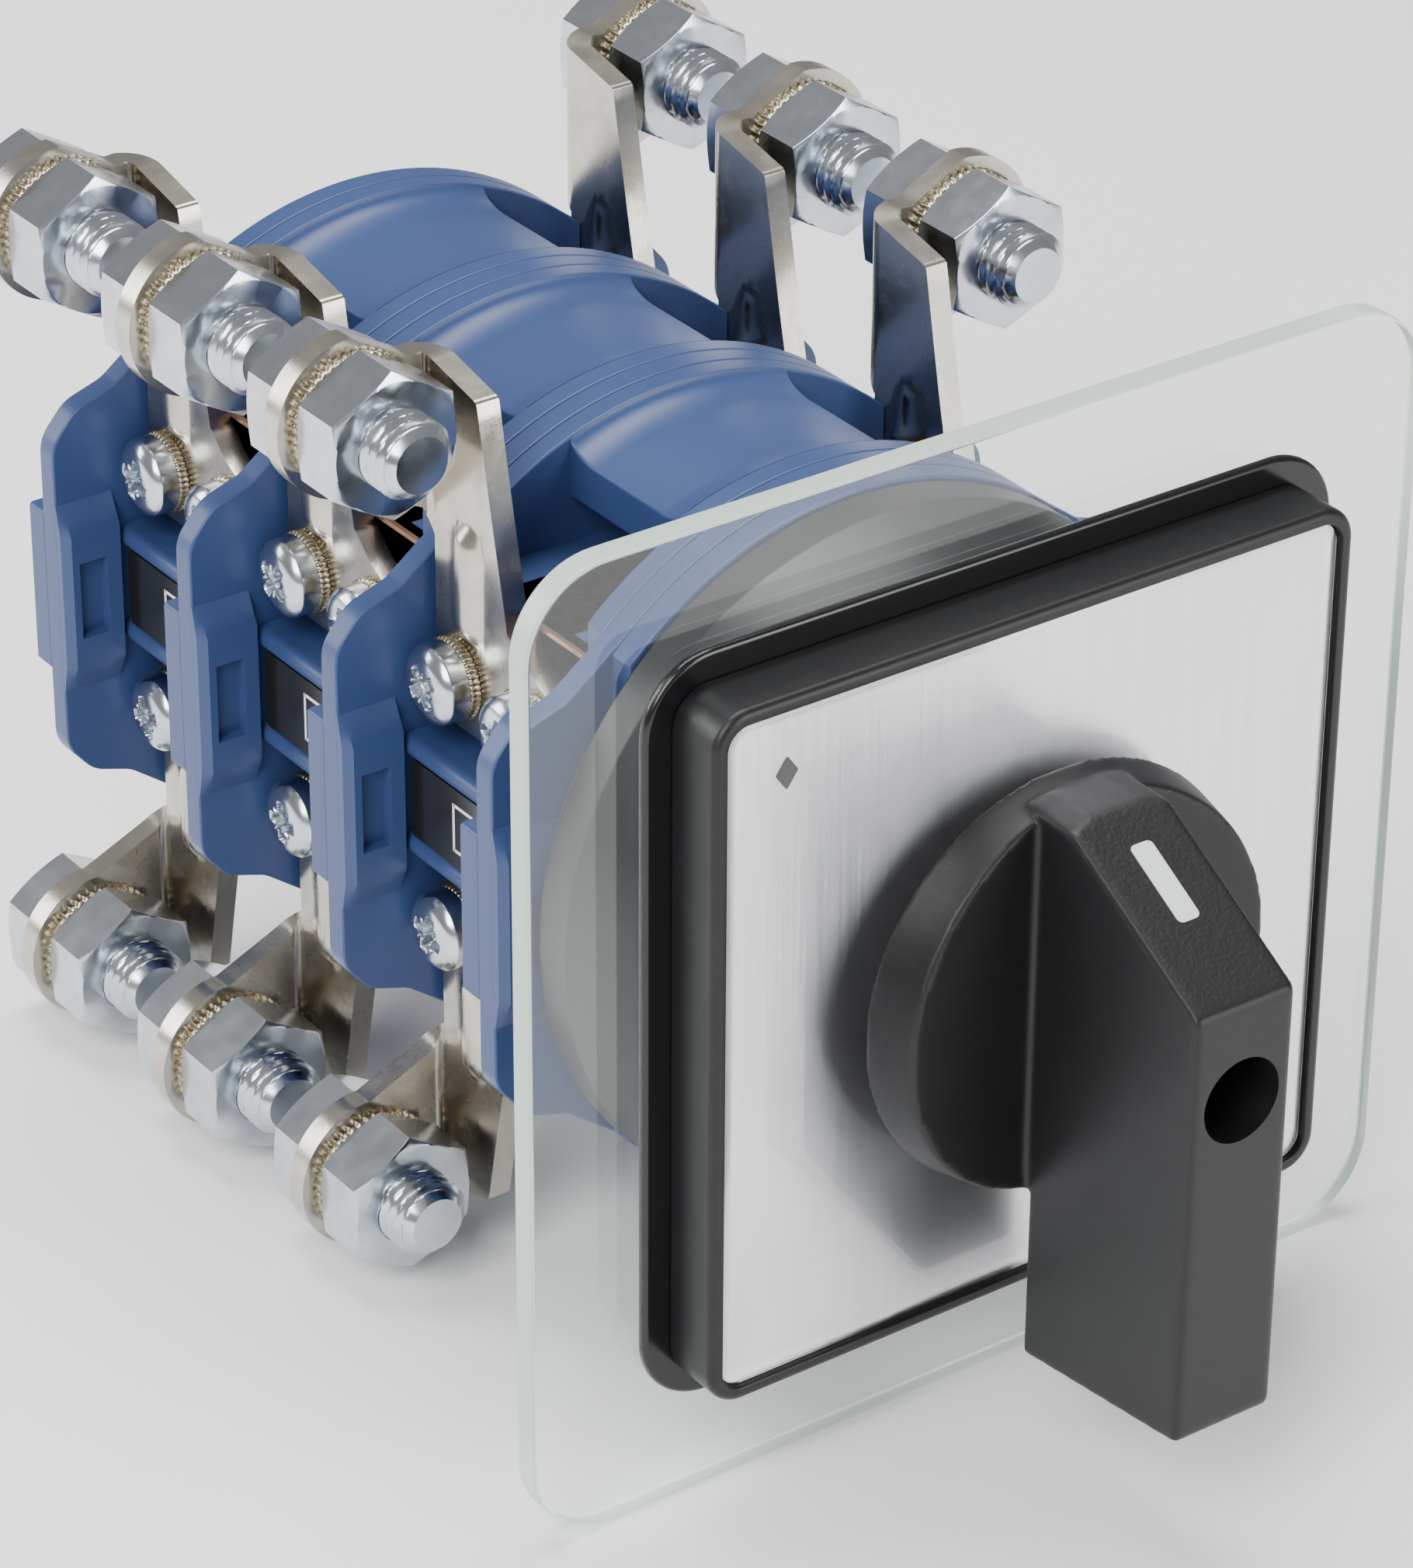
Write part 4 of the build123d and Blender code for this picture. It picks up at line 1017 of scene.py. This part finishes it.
tongue_front = fold_y - lug_thickness
washer_front = tongue_front - 1.2
nut_height = 8.0
nut_front = washer_front - nut_height
nut_hole = thread_radius - 0.55
bolt_tip = nut_front - 5.3
head_height = 6.4
corner_signs = [(sx, sz) for sx in (-1, 1) for sz in (-1, 1)]
stud_places = [(sx * stud_x, start, sz * stud_z) for start in stage_fronts for sx, sz in corner_signs]
bolt_solids, nut_solids = [], []
for x, start, z in stud_places:
    bolt_solids.append(moved(hexagon_body(bolt_flats, fold_y, fold_y + head_height, 0), x, start, z))
    bolt_solids.append(moved(threaded_end(bolt_tip, fold_y), x, start, z))
    nut_solid = hexagon_body(bolt_flats, nut_front, nut_front + nut_height, hole=nut_hole)
    nut_solids.append(moved(nut_solid, x, start, z))
piece("cable_bolts", bolt_solids, zinc, nodes=["terminal_bolts"], crease=30)
piece("cable_nuts", nut_solids, zinc, nodes=["terminal_nuts"], crease=30)

# ---------------------------------------------------------------------------
# Lock washers
# Spring steel washers with fine twisted teeth round the rim, yellow passivated,
# between each nut and its tongue and under each clamp screw.
# ---------------------------------------------------------------------------

washer_gold = plated("yellow_plating", (0.46, 0.41, 0.30), 0.28, 2.5, 0.02, dark=0.75)


def toothed(radius, hole, y0, y1, teeth):
    """A washer whose rim is a wave of teeth; each twists, so its front edge runs ahead of its back."""
    angle = np.linspace(0, 2 * pi, teeth * 6 + 1)
    rows = []
    for share, inset in ((0.0, 0.2), (0.2, 0.0), (0.8, 0.0), (1.0, 0.2)):
        tooth = np.clip(1.6 * np.sin(teeth * angle + 1.2 * share) + 0.3, -0.8, 0.9)
        rim = radius - 0.15 + 0.13 * tooth - inset
        y = np.full(len(angle), y0 + (y1 - y0) * share)
        rows.append(np.stack([rim * np.sin(angle), y, rim * np.cos(angle)], 1))
    for y in (y1, y0):
        rows.append(np.stack([hole * np.sin(angle), np.full(len(angle), y), hole * np.cos(angle)], 1))
    rows.append(rows[0])
    return [np.stack(rows)]


washer_teeth = 44
washer_solid = toothed(8.35, 5.25, washer_front, tongue_front, washer_teeth)
washer_solids = [moved(washer_solid, x, start, z) for x, start, z in stud_places]
washer_nodes = ["terminal_lock_washers"]
piece("cable_washers", washer_solids, washer_gold, nodes=washer_nodes, crease=40)

# ---------------------------------------------------------------------------
# Clamp screws
# M5 pan head screws with a cross recess. They hold the lugs against the fixed
# contacts, two to a lug, and are bright zinc plated.
# ---------------------------------------------------------------------------

screw_seat = side_x + lug_thickness + 1.4
screw_head = 4.9
screw_height = 3.8
screw_rows = (8.3, 23.3)
screw_z = 16.5
shank_radius = 2.5
slot_half, slot_length, slot_depth_full = 0.62, 2.75, 1.9
tick_half, tick_length, tick_depth = 0.16, 2.1, 0.35


def along_x(solid, side):
    """Turns a solid made along y into one along x, facing out on the given side."""
    return [np.stack([side * -sheet[..., 1], sheet[..., 0], sheet[..., 2]], -1) for sheet in solid]


def pan_head(turn):
    """A pan head with a cross recess: its dome falls away with the square and the seventh power of the
    radius, and the recess is the deeper of two slots with sloped walls, with four fine ticks between them."""
    angle = np.linspace(0, 2 * pi, 97)
    share = np.concatenate([np.linspace(0, 0.62, 26), np.linspace(0.66, 1, 12)])
    radius = screw_head * share[:, None]
    x, z = radius * np.sin(angle), radius * np.cos(angle)
    a, b = x * cos(turn) + z * sin(turn), -x * sin(turn) + z * cos(turn)
    top = screw_height - 0.55 * share[:, None] ** 2 - 1.1 * share[:, None] ** 7
    slot_depth = 0.0
    for long, wide in ((a, b), (b, a)):
        inside = np.clip((slot_half - np.abs(wide)) / 0.22 + 0.5, 0, 1)
        inside = inside * np.clip((slot_length - np.abs(long)) / 0.5, 0, 1)
        slot_depth = np.maximum(slot_depth, slot_depth_full * inside * np.clip(1.25 - np.abs(long) / 5, 0, 1))
    c, d = (a + b) / sqrt(2), (b - a) / sqrt(2)
    for long, wide in ((c, d), (d, c)):
        tick = np.clip((tick_half - np.abs(wide)) / 0.1 + 0.5, 0, 1)
        tick = tick * np.clip((tick_length - np.abs(long)) / 0.2, 0, 1)
        slot_depth = np.maximum(slot_depth, tick_depth * tick)
    y = -(top - slot_depth)
    grid = np.stack([x, np.broadcast_to(y, x.shape), z], -1)
    foot = grid[-1] * np.array([1.0, 0.0, 1.0])
    wall = np.stack([grid[-1], foot + np.array([0, -0.1, 0]), foot * np.array([0.96, 0.0, 0.96])])
    shank = ring(shank_radius, 96)
    neck_ring = np.concatenate([shank, shank[:1]])
    rows = [np.stack([neck_ring[:, 1], np.full(97, y), neck_ring[:, 0]], 1) for y in (0.0, 7.4)]
    under = np.stack([wall[-1], rows[0], rows[1]])
    return [grid, wall, under, rows[1][:-1]]


screw_solids, screw_washers = [], []
for side in (-1, 1):
    for n, start in enumerate(stage_fronts):
        for m, y in enumerate(screw_rows):
            for sign in (-1, 1):
                turn = 0.35 + 1.7 * ((n * 4 + m * 2 + sign) % 5) / 5 + 0.4 * side
                place = (side * screw_seat, start + y, sign * screw_z)
                screw_solids.append(moved(along_x(pan_head(turn), side), *place))
                ring_solid = along_x(toothed(5.2, 2.6, 0.0, 1.35, washer_teeth), side)
                screw_washers.append(moved(ring_solid, *place))
piece("lug_screws", screw_solids, zinc, nodes=["clamp_screws"], crease=40)
piece("lug_washers", screw_washers, washer_gold, nodes=["clamp_washers"], crease=40)

# ---------------------------------------------------------------------------
# Marker labels
# Black strips clipped between the ribs of each stage, with a plain stroke in a
# frame printed on them in white.
# ---------------------------------------------------------------------------

marker_black = moulded("marker_plastic", (0.012, 0.012, 0.013), 0.28, 0.5, 0.004, coat=0.3)
marker_white = moulded("marker_ink", (0.80, 0.80, 0.78), 0.5, 0.3, 0.002)
marker_face = span("marker_labels")[1][0]
marker_half_y, marker_half_z = 12.9, 5.0
frame_half_y, frame_half_z, line_half = 4.2, 3.0, 0.2
stage_middle = 14.4
bars = [(side * frame_half_y, 0, line_half, frame_half_z + line_half) for side in (-1, 1)]
bars += [(0, side * frame_half_z, frame_half_y, line_half) for side in (1, -1)]
bars += [(0, 0, 0.25, 1.7)]
strips, prints = [], []
for side in (-1, 1):
    for start in stage_fronts:
        middle = start + stage_middle
        strip = rounded(square(marker_half_y, marker_half_z), 0.4, 4) + np.array([middle, 0])
        back, face = side * (marker_face - 1.2), side * marker_face
        strips.append(plate(strip, back, face, side * 0.15, turn=sideways))
        for y, z, half_y, half_z in bars:
            bar = np.array(square(half_y, half_z)) + np.array([middle + y, z])
            back, face = side * (marker_face + 0.01), side * (marker_face + 0.04)
            prints.append(plate(bar, back, face, 0.0, turn=sideways))
piece("marker_strips", strips, marker_black, nodes=["marker_labels"])
piece("marker_prints", prints, marker_white)

# ---------------------------------------------------------------------------
# Rear end plate, tie rods and nuts
# A dark moulded plate closes the stack, and four long screws draw it together
# with small hexagon nuts behind.
# ---------------------------------------------------------------------------

rear_low, rear_high = span("rear_end_plate")
rear_radius = rear_high[0]
rear_section = rounded(
    [
        (0.0, rear_low[1]),
        (rear_radius, rear_low[1]),
        (rear_radius, rear_high[1]),
        (rear_radius - 6, rear_high[1]),
        (rear_radius - 7, rear_high[1] - 0.8),
        (0.0, rear_high[1] - 0.8),
    ],
    [0, 0.2, 1.0, 0.4, 0.4, 0],
    6,
)
piece("end_plate", [[turned(rear_section)]], latch_grey, nodes=["rear_end_plate"])

rod_places = [(sx * 24.0, sz * 7.0) for sx, sz in corner_signs]
rod_radius, rod_head_radius, rod_head_height = 2.5, 4.2, 2.8
rod_nut_flats = 8.0
rod_low, rod_high = span("tie_rods")
rod_steel = plated("rod_steel", (0.60, 0.61, 0.63), 0.30, 4.0, 0.02)
rod_solids, rod_nut_solids = [], []
for x, z in rod_places:
    shaft = plate(ring(rod_radius, 40), rod_low[1] + 0.1, rod_high[1], 0.4)
    head = plate(ring(rod_head_radius, 48), rod_low[1], rod_low[1] + rod_head_height, 0.4)
    rod_solids += [moved(shaft, x, 0, z), moved(head, x, 0, z)]
    nut_solid = hexagon_body(rod_nut_flats, rear_high[1] - 0.8, rear_high[1] + 4.0, hole=2.52)
    rod_nut_solids.append(moved(nut_solid, x, 0, z))
piece("stack_rods", rod_solids, rod_steel, nodes=["tie_rods"])
piece("stack_nuts", rod_nut_solids, zinc, nodes=["tie_rod_nuts"], crease=30)

# ---------------------------------------------------------------------------
# Inner works
# The shaft, cams, click mechanism, contacts and springs keep their own shapes
# and take their finishes here: bare copper, silver steel and natural plastic.
# ---------------------------------------------------------------------------

copper = plated("contact_copper", (0.42, 0.24, 0.16), 0.36, 3.0, 0.02, dark=0.6)
natural = moulded("natural_plastic", (0.62, 0.59, 0.52), 0.45, 0.6, 0.008)
inner_finish = {
    "fixed_contacts": copper,
    "contact_bridge": copper,
    "contact_spring": rod_steel,
    "plunger": natural,
    "stage_cam": natural,
    "detent_star": natural,
    "detent_rollers": rod_steel,
    "detent_springs": rod_steel,
    "drive_shaft": zinc,
    "handle_screw": zinc,
    "mounting_screws": zinc,
}
for name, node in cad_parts.items():
    for start, finish in inner_finish.items():
        if name.startswith(start):
            node.data.materials.clear()
            node.data.materials.append(finish)

# ---------------------------------------------------------------------------
# Floor, lamps and camera
# A plain pale floor under soft lamps, seen from the left, in front and above.
# ---------------------------------------------------------------------------

floor_mesh = bpy.data.meshes.new("floor")
floor_half = 3.0
floor_z_level = cad_bounds[0][2] - 0.0005
floor_mesh.from_pydata([(x, y, floor_z_level) for x, y in square(floor_half)], [], [(0, 1, 2, 3)])
floor = bpy.data.objects.new("floor", floor_mesh)
bpy.context.scene.collection.objects.link(floor)
floor_white, floor_shader, _, _ = new_finish("pale_floor")
floor_shader.inputs["Base Color"].default_value = (0.93, 0.93, 0.93, 1)
floor_shader.inputs["Roughness"].default_value = 0.6
floor_mesh.materials.append(floor_white)

aim = Vector((0.0, 0.04, 0.0))


def lamp(name, place, width, height, power, colour=(1, 1, 1)):
    """A soft rectangular lamp that faces the object."""
    light = bpy.data.lights.new(name, "AREA")
    light.shape = "RECTANGLE"
    light.size = width
    light.size_y = height
    light.energy = power
    light.color = colour
    made = bpy.data.objects.new(name, light)
    made.location = place
    made.rotation_euler = (aim - Vector(place)).to_track_quat("-Z", "Y").to_euler()
    bpy.context.scene.collection.objects.link(made)
    return made


lamp("key_lamp", (-0.80, -0.45, 0.75), 0.55, 0.75, 15.0)
lamp("top_lamp", (0.10, 0.30, 1.10), 0.90, 0.60, 17.0)
lamp("front_lamp", (0.50, -1.05, 0.30), 0.45, 0.80, 10.0)
lamp("rear_lamp", (-0.70, 0.85, 0.40), 0.50, 0.60, 7.0)

world = bpy.data.worlds.new("studio")
world.use_nodes = True
world.node_tree.nodes["Background"].inputs[0].default_value = (1, 1, 1, 1)
world.node_tree.nodes["Background"].inputs[1].default_value = 0.34
bpy.context.scene.world = world

camera_data = bpy.data.cameras.new("camera")
camera_data.sensor_width = 36.0
camera_data.lens = 136.63
camera_data.clip_start = 0.01
camera = bpy.data.objects.new("camera", camera_data)
view_side, view_rise, view_roll = radians(-35.784), radians(29.83), radians(0.362)
backward = Vector((sin(view_side) * cos(view_rise), -cos(view_side) * cos(view_rise), sin(view_rise)))
rightward = Vector((cos(view_side), sin(view_side), 0))
upward = backward.cross(rightward)
tilted_right = rightward * cos(view_roll) + upward * sin(view_roll)
tilted_up = upward * cos(view_roll) - rightward * sin(view_roll)
camera.matrix_world = Matrix.Translation(Vector((-0.3600, -0.4463, 0.3459))) @ Matrix(
    (tilted_right, tilted_up, backward)
).transposed().to_4x4()
bpy.context.scene.collection.objects.link(camera)
bpy.context.scene.camera = camera
